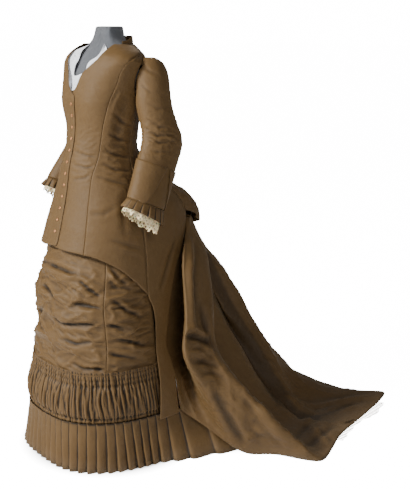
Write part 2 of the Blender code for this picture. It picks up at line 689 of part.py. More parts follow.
def add_skirt(collection):
    heights = spread(SKIRT_TOP, SKIRT_BOTTOM, 15)
    gap = math.degrees(SEAM_GAP / 0.4)
    pieces = (
        ("skirt_front", -SKIRT_SEAM, SKIRT_SEAM, 12),
        ("skirt_side_left", SKIRT_SEAM, SKIRT_END, 4),
        ("skirt_side_right", -SKIRT_END, -SKIRT_SEAM, 4),
    )
    for name, start, end, cells in pieces:
        turns = spread(start + gap, end - gap, cells)
        cloth(collection, name, [[skirt_point(a, h) for a in turns] for h in heights])


def foot_point(degrees, height, lift=0.0):
    """The skirt's foot, from the upper shirred band to the floor, on either side."""
    side = -1 if degrees < 0 else 1
    row = read_table(FOOT, abs(degrees))
    band, floor = Vector((row[0], row[1], 0)), Vector((row[2], row[3], 0))
    if height > BAND_HEIGHT:
        top = ring_point(SKIRT, min(abs(degrees), SKIRT_END), PUFF_TOP)
        share = (height - BAND_HEIGHT) / (PUFF_TOP - BAND_HEIGHT)
        plan = band.lerp(Vector((top.x, top.y, 0)), share)
    else:
        plan = floor.lerp(band, height / BAND_HEIGHT)
    nearby = read_table(FOOT, min(abs(degrees) + 2, 112.0)) - read_table(FOOT, abs(degrees) - 2)
    outward = Vector((nearby[1], -nearby[0], 0)).normalized()
    plan += outward * lift
    return Vector((side * plan.x, plan.y, height))


def add_gathered_flounce(collection):
    """The puffed flounce between the two shirred bands, its gathers slanting as they fall."""
    stations = (
        (PUFF_TOP, 0.0000, 0.20),
        (0.294, 0.0005, 0.30),
        (0.250, 0.0070, 1.00),
        (0.205, 0.0080, 1.00),
        (0.174, 0.0012, 0.30),
        (PUFF_BOTTOM, -0.0006, 0.10),
    )
    for side, mirrored in (("left", False), ("right", True)):
        cells = GATHERS * 2
        rows = []
        for height, swell, depth in stations:
            slant = GATHER_SLANT * (PUFF_TOP - height) / (PUFF_TOP - PUFF_BOTTOM)
            row = []
            for i, degrees in enumerate(spread(0.1, PUFF_END, cells)):
                shift = slant * PUFF_END / cells * math.sin(math.pi * i / cells)
                calm = 1 - ease(84, 93, degrees)
                out = (swell + GATHER_DEPTH * depth * (i % 2)) * calm
                row.append(foot_point(degrees + shift, height, out))
            rows.append(row)
        cloth(collection, f"gathered_flounce_{side}", rows, mirrored=mirrored)


def add_hem_flounce(collection):
    """The shirred heading and the knife-pleated hem below it, down to the floor."""
    profile = ((0.0, 1.0), (0.55, 0.45), (0.88, 0.0))
    stations = ((0.166, 0.0042, 0.16), (BAND_HEIGHT, 0.0024, 0.22), (HEM_LIFT, 0.0, 1.0))
    for side, mirrored in (("left", False), ("right", True)):
        rows = []
        for height, swell, depth in stations:
            row = []
            for pleat in range(PLEATS):
                for along, out in profile:
                    share = (pleat + (1 - along if mirrored else along)) / PLEATS
                    row.append(foot_point(
                        0.1 + share * (PLEAT_END - 0.1), height, swell + PLEAT_DEPTH * depth * out
                    ))
            if mirrored:
                count = len(profile)
                row = [p for k in range(PLEATS) for p in reversed(row[k * count:(k + 1) * count])]
            rows.append(row)
        cloth(collection, f"hem_flounce_{side}", rows, mirrored=mirrored)


def train_edge(side, down):
    """The train's side edge, sewn under the polonaise's back edge and free below."""
    height = float(smooth_between(range(6), TRAIN_EDGE_HEIGHTS, down))
    free = ease(2.8, 3.8, down)
    degrees = angle_on(BACK_SEAM, height) - TRAIN_EDGE_TUCK * (1 - free) + 0.8 * free
    tuck = SILK + 8 * LAYER_GAP + TRAIN_EDGE_DEPTH * ease(0, 0.7, down)
    point = lifted(on_body, degrees, height, -tuck * (1 - free))
    return Vector((side * point.x, point.y, point.z))


def train_point(across, down):
    """A point of the train: across counts folds from the left edge, down counts heights."""
    line = [train_edge(1, down)]
    line += [smooth_between(range(6), row[1:], down) for row in TRAIN]
    line += [train_edge(-1, down)]
    point = Vector(smooth_between(range(len(line)), line, across))
    point.z = max(point.z, FLOOR_LIFT)
    return point


def add_train(collection):
    """The train in two widths, sewn at centre back."""
    centre = 1 + next(i for i, row in enumerate(TRAIN) if row[0] == "centre back")
    last = len(TRAIN) + 1
    downs = spread(0, 5, TRAIN_ROWS)
    for name, start, end in (("train_left", 0, centre), ("train_right", centre, last)):
        cells = (end - start) * TRAIN_COLUMNS_PER_FOLD
        low, high = start + (TRAIN_SEAM if start else 0), end - (TRAIN_SEAM if start == 0 else 0)
        places = spread(low, high, cells)
        cloth(collection, name, [[train_point(a, d) for a in places] for d in downs])


def back_reach(x, height):
    half_width, _, back, square = read_table(BODY, height)
    return back * (1 - abs(x / half_width) ** square) ** (1 / square)


def add_bustle(collection):
    """The looped-up puff over the train's top, in soft upright folds."""
    rows = []
    for down in spread(0, 1, 7):
        reach, height = read_table(PUFF_PROFILE, down)
        row = []
        for side in spread(-1, 1, 4 * BUSTLE_FOLDS):
            x = side * BUSTLE_HALF_WIDTH
            z = height + 0.075 * abs(side) ** 2.5 * down
            flat = PUFF_LIFT + back_reach(x, max(z, FREE_HEIGHT))
            swell = reach - PUFF_LIFT - back_reach(0, max(height, FREE_HEIGHT))
            fold = BUSTLE_FOLD_DEPTH * math.cos(side * math.pi * BUSTLE_FOLDS)
            fold *= ease(0.0, 0.35, down) * (1 - abs(side) ** 6)
            y = flat + swell * (1 - abs(side) ** 2.4) ** (1 / 2.4) + fold
            row.append(Vector((x, y, z)))
        rows.append(list(reversed(row)))
    cloth(collection, "bustle_puff", rows)


def add_train_lace(collection):
    """The dust ruffle's lace edge, which shows past the train's end."""
    edge = ((0.560, 0.585), (0.525, 0.660), (0.492, 0.760), (0.488, 0.845), (0.440, 0.950))
    inner, outer = [], []
    for place in spread(0, len(edge) - 1, 16):
        x, y = smooth_between(range(len(edge)), edge, place)
        wave = 0.004 * math.sin(place * 5 * math.pi)
        inner.append(Vector((x - 0.030, y - 0.012, LACE + 0.0004)))
        outer.append(Vector((x + 0.014 + wave, y + 0.006, LACE + 0.0004)))
    cloth(collection, "train_lace", [inner, outer], "lace", LACE)


def turned(collection, name, profile, segments, finish):
    """A solid turned about the upright axis from radius and height pairs, bottom to top."""
    mesh = bpy.data.meshes.new(name)
    shape = bmesh.new()
    verts = [shape.verts.new((radius, 0, height)) for radius, height in profile]
    edges = [shape.edges.new(pair) for pair in zip(verts, verts[1:])]
    bmesh.ops.spin(
        shape,
        geom=verts + edges,
        axis=(0, 0, 1),
        cent=(0, 0, 0),
        angle=math.tau,
        steps=segments,
    )
    bmesh.ops.remove_doubles(shape, verts=shape.verts, dist=1e-5)
    bmesh.ops.recalc_face_normals(shape, faces=shape.faces)
    shape.to_mesh(mesh)
    shape.free()
    return put(collection, name, mesh, finish)


def add_form(collection):
    """The limbless dress form: torso and neck as one smooth closed body."""
    name = "form_torso"
    mesh = bpy.data.meshes.new(name)
    shape = bmesh.new()
    heights = [row[0] for row in FORM]
    rings = []
    for height in spread(heights[0], heights[-1], 15):
        rings.append([shape.verts.new(ring_point(FORM, a, height)) for a in range(0, 360, 20)])
    count = len(rings[0])
    for upper, lower in zip(rings, rings[1:]):
        for i in range(count):
            j = (i + 1) % count
            shape.faces.new((upper[i], lower[i], lower[j], upper[j]))
    shape.faces.new(rings[0])
    shape.faces.new(list(reversed(rings[-1])))
    shape.to_mesh(mesh)
    shape.free()
    put(collection, name, mesh, "form")


def add_stand(collection):
    lip = 0.004
    profile = (
        (0, 0), (BASE_RADIUS - lip, 0), (BASE_RADIUS, lip), (BASE_RADIUS, BASE_HEIGHT - lip),
        (BASE_RADIUS - lip, BASE_HEIGHT), (0.030, BASE_HEIGHT), (0.022, BASE_HEIGHT + 0.030),
        (0, BASE_HEIGHT + 0.030),
    )
    turned(collection, "stand_base", profile, 24, "stand")
    foot, head = BASE_HEIGHT + 0.030 + 0.0003, FORM_BOTTOM - 0.0003
    pole = ((0, foot), (POLE_RADIUS, foot), (POLE_RADIUS, head), (0, head))
    turned(collection, "stand_pole", pole, 12, "stand")


def main():
    clear_scene()
    collection = new_collection()
    add_form(collection)
    add_stand(collection)
    add_bodice(collection)
    add_collar(collection)
    add_neck_fill(collection)
    add_buttons(collection)
    for side, mirrored in (("left", False), ("right", True)):
        add_sleeve(collection, side, mirrored)
        add_cuff(collection, side, mirrored)
        add_cuff_ruffle(collection, side, mirrored)
        add_cuff_lace(collection, side, mirrored)
    add_skirt(collection)
    add_gathered_flounce(collection)
    add_hem_flounce(collection)
    add_train(collection)
    add_bustle(collection)
    add_train_lace(collection)


main()
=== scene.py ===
"""Looks of the travelling dress: cloth, lace, buttons, sewing, dress form and stage.

Every cloth piece starts as the outer layer of its packed wall. The layer is smoothed so that it
still passes through the wall's own points, creased where the photograph shows a crease, and given
its thickness again. Metres, Z up, front of the dress towards -Y, the wearer's left towards +X.
"""
import math
from typing import NamedTuple

import bmesh
import bpy
import numpy as np
from mathutils import Matrix, Vector, noise
from mathutils.bvhtree import BVHTree
from mathutils.kdtree import KDTree


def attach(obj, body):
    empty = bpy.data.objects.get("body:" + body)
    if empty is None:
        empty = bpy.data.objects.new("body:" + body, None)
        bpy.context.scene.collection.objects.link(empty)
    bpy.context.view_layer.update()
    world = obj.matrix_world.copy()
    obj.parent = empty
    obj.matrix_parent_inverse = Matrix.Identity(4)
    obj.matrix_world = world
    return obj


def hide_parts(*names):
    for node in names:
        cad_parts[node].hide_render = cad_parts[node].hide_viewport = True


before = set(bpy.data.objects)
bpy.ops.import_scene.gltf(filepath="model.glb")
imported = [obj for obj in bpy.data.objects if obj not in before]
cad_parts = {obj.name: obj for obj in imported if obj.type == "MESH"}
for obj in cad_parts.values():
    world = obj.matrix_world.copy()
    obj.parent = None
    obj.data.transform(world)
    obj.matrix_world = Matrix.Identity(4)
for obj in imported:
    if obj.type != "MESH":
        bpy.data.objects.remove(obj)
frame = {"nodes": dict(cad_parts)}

bl_info = {
    "name": "Travelling dress",
    "version": (1, 0, 0),
    "blender": (4, 5, 0),
    "location": "View3D > Sidebar > Dress",
    "description": "Builds the cloth, trimmings, dress form and stage of the travelling dress",
    "category": "Object",
}

LOWEST = .0026  # Outer face of cloth that lies on the floor
SILK_WALL, THIN_WALL = .0016, .0012  # Packed walls of the silk, and of the lace and cotton
COTTON_WALL = .0010  # The finished neck filling
RIM_FACTORS = (1.35, 1.2, 1.1, 1.03)  # A rim face is narrower than this many walls; tried in turn
DUPLICATE = 1e-5  # Vertices closer than this are one

# The middle of the sleeve: top and drop of the arm, how far out it starts and ends, how far back it
# starts, and where and how far it then bends forwards
ARM_TOP, ARM_DROP, ARM_OUT, ARM_SPREAD = 1.33, .45, .155, .092
ARM_BACK, ARM_BEND, ARM_FORWARD = .062, .45, .078

# Widths of the bands along a raw edge: where creases fade, the seam's furrow, and its pucker with
# the pucker's wavelength
EDGE_FADE, FURROW, PUCKER, PUCKER_WAVE = .022, .0032, .012, .017
SHIRRING_WIDTH, GATHER_DEPTH = .0055, .0017

# Buttonholes: shift from the button, half length, half the distance between the two sides, and
# stitch spacing. The closing edge is sewn EDGE_SEAM from the buttons, and stitches are laid only
# where the cloth is nearer than STITCH_REACH.
HOLE_SHIFT, HOLE_HALF, HOLE_SLIT, HOLE_PITCH = .002, .0075, .0013, .0009
EDGE_SEAM, STITCH_REACH = .0105, .012

# Fold attribute, which paints shade in hollows and creases and highlight on ridges: the depth of crease and
# the curvature, per metre, that count as full, and the share of the crease
FULL_FOLD, FULL_CURVE, CREASE_SHARE = .008, 45, .6
JOIN_ANGLE = .7  # Triangles of the form that bend less than this, in radians, are one quad


class Refining(NamedTuple):
    """How one kind of cloth is refined. Depths and sizes are in metres."""
    levels: int  # Subdivisions
    passes: int  # How closely the surface follows the solid's points
    press: float  # How many times deeper than measured its creases are
    shade: float  # How dark the painted shade in its hollows is
    sway: float  # Depth of its broad unevenness
    sway_size: float
    crush: float  # Depth of its sharp unevenness
    crush_size: float
    seam: float  # Depth of the furrow along its edges


CLOTHS = {
    "bodice": Refining(3, 3, 2.3, .7, .0007, .075, .0022, .045, .0006),
    "sleeve": Refining(3, 1, 1.5, .7, .0009, .06, .0019, .045, .0006),
    "cuff": Refining(3, 2, 1.4, .7, .0004, .05, .0005, .03, .0006),
    "collar": Refining(3, 2, 1.4, .7, .0002, .05, .0002, .03, .0004),
    "skirt": Refining(3, 3, 3, 1.1, .002, .11, .008, .085, .0006),
    "gathered": Refining(3, 2, 1.4, 1.7, .0014, .04, .0016, .02, 0),
    "hem": Refining(3, 2, 1.4, 1.8, .0028, .06, .0004, .03, 0),
    "ruffle": Refining(2, 2, 1.4, 1.5, .0003, .03, .0003, .02, 0),
    "bustle": Refining(3, 3, 1.4, .8, .0016, .05, .003, .03, .0008),
    "train": Refining(3, 3, 1.4, .35, .003, .08, .006, .075, .0006),
    "neck_fill": Refining(4, 2, 1.4, .6, .0008, .02, .0034, .014, 0),
    "lace": Refining(4, 2, 1.4, .5, .0008, .02, .0008, .012, 0),
}

ONE, BOTH = (1,), (1, -1)  # Sides of the dress that a crease is on: the photograph's, or both

# Creases read off the photograph, by cloth and sides: depth, half-width and path in millimetres. A
# negative depth is a ridge.
CREASES = {
    ("skirt", BOTH): [
        (2.8, 9, ((-20, -216, 665), (70, -209, 660), (121, -189, 651))),
        (2.6, 8, ((126, -196, 636), (157, -175, 609), (181, -154, 588))),
        (2.4, 8, ((105, -220, 559), (157, -188, 558), (191, -150, 549))),
        (3.2, 9, ((11, -244, 537), (67, -237, 491), (135, -211, 490), (183, -170, 497))),
        (2.4, 8, ((195, -154, 497), (211, -123, 488), (224, -90, 474))),
        (2.6, 8, ((202, -158, 405), (228, -114, 391), (239, -55, 370))),
        (2.4, 7, ((119, -229, 363), (157, -212, 346), (191, -180, 348), (240, -44, 343))),
        (-2.8, 8, ((167, -123, 669), (189, -108, 644), (200, -81, 611))),
        (2.2, 7, ((201, -122, 576), (219, -80, 538), (223, -21, 500))),
        (2.2, 7, ((205, -136, 452), (226, -80, 434), (234, -15, 404))),
    ],
    ("skirt", ONE): [
        (2.8, 9, ((-59, -228, 593), (7, -240, 580), (41, -238, 560))),
        (2.4, 8, ((73, -244, 439), (131, -222, 430), (171, -183, 439))),
        (2.6, 8, ((-130, -205, 470), (-60, -236, 440), (20, -244, 425))),
    ],
    ("bodice", BOTH): [
        (2.2, 20, ((158, -12, 1215), (146, -26, 1160), (130, -36, 1100), (126, -30, 1040))),
        (1.4, 12, ((170, -40, 930), (176, -52, 850), (186, -60, 770))),
        (1.7, 6, ((115, 45, 1106), (128, -18, 1131), (125, -53, 1165))),
        (1.9, 6, ((110, 43, 1060), (121, -22, 1074), (111, -61, 1095))),
        (2, 6, ((119, 40, 1009), (120, -31, 1023), (104, -73, 1044))),
        (2, 6, ((138, 18, 968), (129, -46, 980), (103, -89, 1004))),
        (1.7, 6, ((153, -17, 928), (136, -67, 947), (103, -110, 964))),
        (1.4, 5, ((24, -132, 1037), (73, -114, 1025), (100, -86, 1022))),
        (1.6, 5, ((32, -143, 994), (76, -125, 988), (102, -96, 995))),
        (1.3, 5, ((34, -153, 946), (80, -133, 957), (96, -116, 970))),
        (1.3, 7, ((141, -39, 1234), (130, -55, 1203), (120, -65, 1165))),
        (1.5, 8, ((165, -58, 873), (150, -110, 848), (110, -152, 847))),
        (1.5, 8, ((206, 28, 718), (199, -46, 742), (178, -108, 768))),
        (1.8, 8, ((224, 53, 581), (207, 100, 665), (184, 152, 742))),
        (1.7, 7, ((60, 135, 1060), (85, 110, 1050), (112, 60, 1062))),
        (1.6, 7, ((40, 140, 1010), (75, 122, 1000), (115, 65, 1012))),
    ],
    ("sleeve", BOTH): [
        (1.9, 5, ((203, 23, 1147), (230, 56, 1119), (234, 101, 1113))),
        (2.4, 5, ((199, 21, 1116), (231, 47, 1092), (237, 110, 1090))),
        (2.4, 5, ((207, 14, 1079), (239, 49, 1070), (240, 112, 1071))),
        (2, 5, ((213, 1, 1049), (245, 37, 1043), (248, 89, 1039))),
        (1.7, 6, ((200, 25, 1194), (223, 55, 1175), (224, 93, 1176))),
        (1.4, 6, ((175, 21, 1252), (205, 38, 1228), (218, 79, 1220))),
        (1.3, 6, ((171, 37, 1307), (192, 48, 1289), (205, 78, 1276))),
    ],
    ("train", ONE): [
        (36, 46, ((50, 393, 642), (98, 401, 553), (123, 457, 417), (164, 502, 300), (223, 531, 192),
            (299, 565, 79))),
        (11, 75, ((75, 397, 600), (123, 457, 417), (164, 502, 300), (223, 531, 192), (299, 565, 79),
            (345, 590, 40))),
        (16, 26, ((299, 565, 79), (355, 595, 34), (388, 678, 5))),
        (-9, 16, ((181, 214, 732), (259, 148, 623), (298, 125, 515), (330, 111, 440))),
        (14, 13, ((329, 71, 439), (330, 120, 435), (336, 175, 402))),
        (-7, 12, ((347, 56, 392), (355, 108, 388), (353, 179, 371))),
        (6, 16, ((275, 182, 533), (315, 175, 439), (349, 190, 367))),
        (10, 18, ((407, 134, 258), (426, 196, 131), (436, 243, 40))),
        (-10, 20, ((300, 330, 215), (493, 271, 177), (564, 345, 57))),
        (6, 16, ((105, 473, 432), (147, 518, 316), (187, 554, 231))),
        (4, 9, ((348, 64, 397), (347, 123, 393), (361, 172, 361))),
        (4, 9, ((363, 68, 359), (366, 125, 356), (386, 177, 324))),
        (3.5, 9, ((374, 84, 317), (383, 145, 318), (412, 190, 287))),
        (3.5, 9, ((187, 554, 231), (187, 581, 208), (187, 607, 177))),
        (3.5, 9, ((222, 553, 186), (215, 591, 162), (214, 624, 132))),
        (3.5, 11, ((423, 167, 225), (435, 188, 202), (448, 212, 178))),
        (3.5, 11, ((446, 213, 238), (470, 237, 197), (488, 258, 150))),
        (3.5, 11, ((457, 233, 117), (472, 260, 92), (488, 287, 68))),
        (6, 12, ((549, 331, 78), (500, 430, 45), (439, 535, 23), (395, 671, 6))),
        (6, 12, ((583, 364, 44), (513, 525, 14), (469, 667, 5))),
        (-5, 12, ((383, 598, 19), (485, 555, 14), (578, 518, 7))),
        (-6, 12, ((294, 586, 79), (311, 704, 15), (361, 836, 16), (397, 952, 13))),
        (6, 10, ((373, 499, 48), (382, 685, 5), (390, 867, 13))),
    ],
}

# Shirring: height in metres and depth of each gathering line round the gathered flounce.
SHIRRING = [(.328, .0045), (.310, .0040), (.292, .0050), (.180, .0050), (.162, .0045)]

# Lace: length in metres of one repeat under the train, repeats round a cuff and rows of holes, the
# holes' radii as shares of a repeat, and the depths between which the holes lie
LACE_REPEAT, CUFF_REPEATS, LACE_ROWS = .012, 26, 5
LARGE_HOLE, SMALL_HOLE, LACE_HEAD, LACE_FOOT = .21, .16, .12, .93

# One button: sides, and its profile from the middle outwards, radius and height in millimetres
BUTTON_SIDES = 24
BUTTON = [(0, 2.15), (1.2, 2.1), (2.3, 1.75), (3.1, 1.2), (3.5, 1.0), (3.9, 1.35), (4.4, 1.7), (4.9, 1.55),
          (5.2, 1.0), (5.1, .4), (4.6, .1), (2.0, .0), (0, .0)]

FLOOR_HALF = 40  # Half the floor's width

# Ellipses of floor under the skirt and the train, where the floor's glow is left off as painted shadow:
# middle, half width and half length
FOOTPRINT = (((.0, .0), (.33, .33)), ((.05, .45), (.41, .40)))

# Studio lights, which all look at LIT: place, size, share of the key light's power, and colour
LIT = (.1, .2, .7)
LIGHTS = {
    "Key light": ((-.4, -3.6, 3.2), .7, 1, (1, .985, .96)),
    "Side light": ((3.6, -1.2, 2.6), 1.2, .13, (1, 1, 1)),
    "Back light": ((-2.5, 2.6, 2.8), 1.6, .03, (1, 1, 1)),
}


def nodes_named(*starts):
    """Names of the frame's nodes that begin with one of these words."""
    return [name for name in sorted(frame["nodes"]) if name.startswith(starts)]


def cloth_kind(name):
    """The row of CLOTHS that a node is refined by."""
    if "lace" in name:
        return "lace"
    if "ruffle" in name:
        return "ruffle"
    return next(kind for kind in CLOTHS if name.startswith(kind))


def welded(node):
    """A node's mesh with its shared vertices made one."""
    bm = bmesh.new()
    bm.from_mesh(frame["nodes"][node].data)
    bmesh.ops.remove_doubles(bm, verts=bm.verts, dist=DUPLICATE)
    return bm


def mesh_from(name, bm):
    """A mesh of what bm holds, which is freed."""
    mesh = bpy.data.meshes.new(name)
    bm.to_mesh(mesh)
    bm.free()
    return mesh


def islands(bm):
    """Groups of faces that hang together."""
    left, groups = set(bm.faces), []
    while left:
        stack = [left.pop()]
        group = list(stack)
        while stack:
            for edge in stack.pop().edges:
                for face in edge.link_faces:
                    if face in left:
                        left.discard(face)
                        stack.append(face)
                        group.append(face)
        groups.append(group)
    return groups


def behind(name, point):
    """A point on the hidden side of the cloth, level with this one."""
    x, y, z = point
    if name.startswith(("sleeve", "cuff")):
        side = 1 if name.endswith("left") else -1
        down = min(max((ARM_TOP - z) / ARM_DROP, 0), 1)
        bend = max(down - ARM_BEND, 0) / (1 - ARM_BEND)
        return Vector((side * (ARM_OUT + ARM_SPREAD * down), ARM_BACK - ARM_FORWARD * bend, z))
    if name.startswith("train"):
        return Vector((x * .6, y * .55, z - .5))  # Under the slope
    if name.startswith("bustle"):
        return Vector((0, .1, .72))
    return Vector((0, .02, z))  # On the body's axis


def outwardness(name, face):
    """Area of a face, counted by how far it looks away from the hidden side of the cloth."""
    middle = face.calc_center_median()
    return face.calc_area() * face.normal.dot(middle - behind(name, middle))


def outer_layer(name, wall):
    """The outer layer of a packed wall, as quads. Rim faces are those as narrow as the wall is thick."""
    for factor in RIM_FACTORS:
        bm = welded(name)
        rim = [f for f in bm.faces if min(e.calc_length() for e in f.edges) < factor * wall]
        bmesh.ops.delete(bm, geom=rim, context="FACES")
        layers = sorted(islands(bm), key=len, reverse=True)
        if len(layers) == 2 and len(layers[1]) > .9 * len(layers[0]):
            break
        if factor != RIM_FACTORS[-1]:
            bm.free()
    facing = [sum(outwardness(name, face) for face in layer) for layer in layers[:2]]
    kept = set(layers[int(facing[1] > facing[0])])
    bmesh.ops.delete(bm, geom=[f for f in bm.faces if f not in kept], context="FACES")
    bmesh.ops.join_triangles(bm, faces=bm.faces[:], angle_face_threshold=math.pi,
                             angle_shape_threshold=math.pi)
    return mesh_from(name, bm)


def new_object(name, mesh):
    """A scene object at the origin that shows this mesh."""
    obj = bpy.data.objects.new(name, mesh)
    bpy.context.scene.collection.objects.link(obj)
    return obj


def points_of(mesh, word="co"):
    """The place of every vertex, or another vector that it has, as rows of x, y, z."""
    flat = np.empty(len(mesh.vertices) * 3)
    mesh.vertices.foreach_get(word, flat)
    return flat.reshape(-1, 3)


def set_points(mesh, points):
    """Moves every vertex to its row of points."""
    mesh.vertices.foreach_set("co", np.asarray(points, float).ravel())
    mesh.update()


def applied(obj):
    """Replaces the object's mesh by what its modifiers make of it."""
    bpy.context.view_layer.update()
    graph = bpy.context.evaluated_depsgraph_get()
    mesh = bpy.data.meshes.new_from_object(obj.evaluated_get(graph), depsgraph=graph)
    obj.modifiers.clear()
    old, obj.data = obj.data, mesh
    bpy.data.meshes.remove(old)
    mesh.name = obj.name


def smoothed(obj, levels, passes):
    """Subdivides the cloth, moving its cage so that the surface still meets the cage's first points."""
    smooth = obj.modifiers.new("Smooth", "SUBSURF")
    smooth.levels = smooth.render_levels = levels
    smooth.boundary_smooth = "PRESERVE_CORNERS"
    wanted = points_of(obj.data)
    cage = wanted.copy()
    for _ in range(passes):
        bpy.context.view_layer.update()
        graph = bpy.context.evaluated_depsgraph_get()
        evaluated = obj.evaluated_get(graph)
        reached = points_of(evaluated.to_mesh())[:len(wanted)]
        evaluated.to_mesh_clear()
        cage += wanted - reached
        set_points(obj.data, cage)
    applied(obj)


def uneven(points, size, seed, stretch=(1, 1, 1)):
    """Smooth noise from -1 to 1 at each point."""
    scaled = points * (np.array(stretch) / size) + seed * 17.3
    return np.array([noise.noise(Vector(p)) for p in scaled])


def edge_distance(mesh):
    """Distance from each vertex to the cloth's nearest raw edge."""
    uses = np.zeros(len(mesh.edges), int)
    loops = np.empty(len(mesh.loops), int)
    mesh.loops.foreach_get("edge_index", loops)
    np.add.at(uses, loops, 1)
    ends = sorted({v for e, n in zip(mesh.edges, uses) if n == 1 for v in e.vertices})
    points = points_of(mesh)
    tree = KDTree(len(ends))
    for index in ends:
        tree.insert(points[index], index)
    tree.balance()
    return np.array([tree.find(p)[2] for p in points])


def creases_of(kind):
    """Depth, half-width and path of every crease of one kind of cloth, its path in metres."""
    for (cloth, sides), rows in CREASES.items():
        for deep, wide, path in rows if cloth == kind else ():
            for side in sides:
                yield deep, wide, np.array(path) * (side, 1, 1) / 1000


def crease_depth(points, normals, path, width):
    """Profile of one crease at each point: a furrow along the path with a soft ridge on each side."""
    nearest = np.full(len(points), np.inf)
    across, along = np.zeros(len(points)), np.zeros(len(points))
    lengths = np.linalg.norm(np.diff(path, axis=0), axis=1)
    start = 0
    for a, b, length in zip(path[:-1], path[1:], lengths):
        direction = (b - a) / length
        t = np.clip((points - a) @ direction, 0, length)
        offset = points - (a + t[:, None] * direction)
        distance = np.linalg.norm(offset, axis=1)
        side = np.einsum("ij,ij->i", offset, np.cross(normals, direction))
        closer = distance < nearest
        nearest[closer], across[closer] = distance[closer], side[closer]
        along[closer] = (start + t[closer]) / lengths.sum()
        start += length
    v = across / width
    profile = -np.exp(-v ** 2) + .55 * np.exp(-(v - 1.8) ** 2) + .4 * np.exp(-(v + 1.9) ** 2 / 1.4)
    beyond = np.sqrt(np.maximum(nearest ** 2 - across ** 2, 0)) / width
    taper = np.clip(4 * along * (1 - along), 0, 1) ** .6 * np.exp(-beyond ** 2)
    return profile * taper * (nearest < 5 * width)


def region(kind, points):
    """Where a cloth is crushed most, from 0 to 1 and a little over."""
    x, y, z = points.T
    if kind == "bodice":
        return .25 + np.exp(-((z - 1.03) / .085) ** 2) * (.35 + .65 * np.clip(np.abs(x) / .10, 0, 1))
    if kind == "sleeve":
        return .35 + 1.1 * np.exp(-((z - 1.085) / .075) ** 2)
    if kind == "skirt":
        return .35 + .65 * np.clip((.70 - z) / .1, 0, 1)
    if kind == "train":
        return .25 + .75 * np.clip((.42 - z) / .25, 0, 1)
    return np.ones(len(points))


def train_places(points):
    """Distance round the train and down it at each point."""
    x, y, z = points.T
    return np.arctan2(x, y + .05) * .55, np.hypot(x, y) - z


def slanted(kind, points):
    """Points sheared so that the noise runs the way the cloth is dragged, with its stretch."""
    x, y, z = points.T
    if kind == "skirt":
        return np.column_stack((x, y, z + .32 * np.abs(x))), (.7, .7, 2.8)
    if kind == "bodice":
        return np.column_stack((x, y, z + .25 * y)), (.8, .8, 2.0)
    if kind == "sleeve":
        return np.column_stack((x, y, z + .30 * y)), (.9, .9, 2.0)
    if kind == "train":
        round_it, down = train_places(points)
        return np.column_stack((round_it, down * .22, z * 0)), (1, 1, 1)
    if kind == "gathered":
        return np.column_stack((x, y, z * .35)), (1.6, 1.6, 1)
    return points, (1, 1, 1)


def crushing(kind, points, broad, sharp):
    """Ridges of crushed silk; the large pieces have a second set that crosses the first."""
    ridges = np.exp(-np.abs(sharp) / .13) - .42 + .25 * sharp
    if kind in ("skirt", "bodice", "sleeve", "train"):
        leaning = points * (1, 1, 2.6) - np.abs(points[:, :1]) * (0, 0, .7)
        crossing = uneven(leaning, CLOTHS[kind].crush_size * 1.3, 5)
        ridges = .75 * ridges + .8 * (np.exp(-np.abs(crossing) / .10) - .33) * (broad > -.6)
    return ridges


def gathers(points, broad, sharp):
    """Two sets of uneven ripples round the gathered flounce."""
    turn = np.arctan2(points[:, 0], -points[:, 1]) + .25 * points[:, 2]
    return np.sin(turn * 118 + 5 * broad) + .6 * np.sin(turn * 71 + 3 * sharp)


def creased(obj, kind, strength):
    """Presses creases, shirring, seam furrows and unevenness into the cloth, and records its folds for
    painted shade and highlight.
    """
    row, mesh = CLOTHS[kind], obj.data
    points, normals = points_of(mesh), points_of(mesh, "normal")
    edge = edge_distance(mesh)
    sheared, stretch = slanted(kind, points)
    inner = np.clip(edge / EDGE_FADE, 0, 1)
    broad = uneven(sheared, row.sway_size, 1, stretch)
    sharp = uneven(sheared, row.crush_size, 2, stretch)
    sharp = sharp + .5 * uneven(sheared, row.crush_size / 2.1, 3, stretch)
    depth = row.sway * broad * inner
    depth += row.crush * crushing(kind, points, broad, sharp) * region(kind, points) * inner
    furrow = np.exp(-(edge / FURROW) ** 2)
    pucker = np.exp(-(edge / PUCKER) ** 2) * np.sin(points[:, 2] * 2 * math.pi / PUCKER_WAVE + 3 * broad)
    depth += row.seam * (-furrow + .4 * pucker * (1 - furrow))
    pressed = np.zeros(len(points))
    for deep, wide, line in creases_of(kind):
        pressed += deep * row.press / 1000 * crease_depth(points, normals, line, wide / 1000) * inner
    if kind == "gathered":
        for height, deep in SHIRRING:
            depth -= deep * np.exp(-((points[:, 2] - height) / SHIRRING_WIDTH) ** 2)
        depth += GATHER_DEPTH * gathers(points, broad, sharp) * inner
    depth += pressed
    moved = points + normals * (depth * strength)[:, None]
    moved[:, 2] = np.maximum(moved[:, 2], LOWEST)
    set_points(mesh, moved)
    across, down = thread_places(kind, points)
    # Painted shade in hollows and furrows; lighter ridges, partly wear and partly painted highlight
    fold = roundness(mesh) * row.shade - np.clip(pressed / FULL_FOLD, -1, 1) * CREASE_SHARE
    for name, values in (("fold", fold), ("across", across), ("down", down)):
        mesh.attributes.new(name, "FLOAT", "POINT").data.foreach_set("value", values)


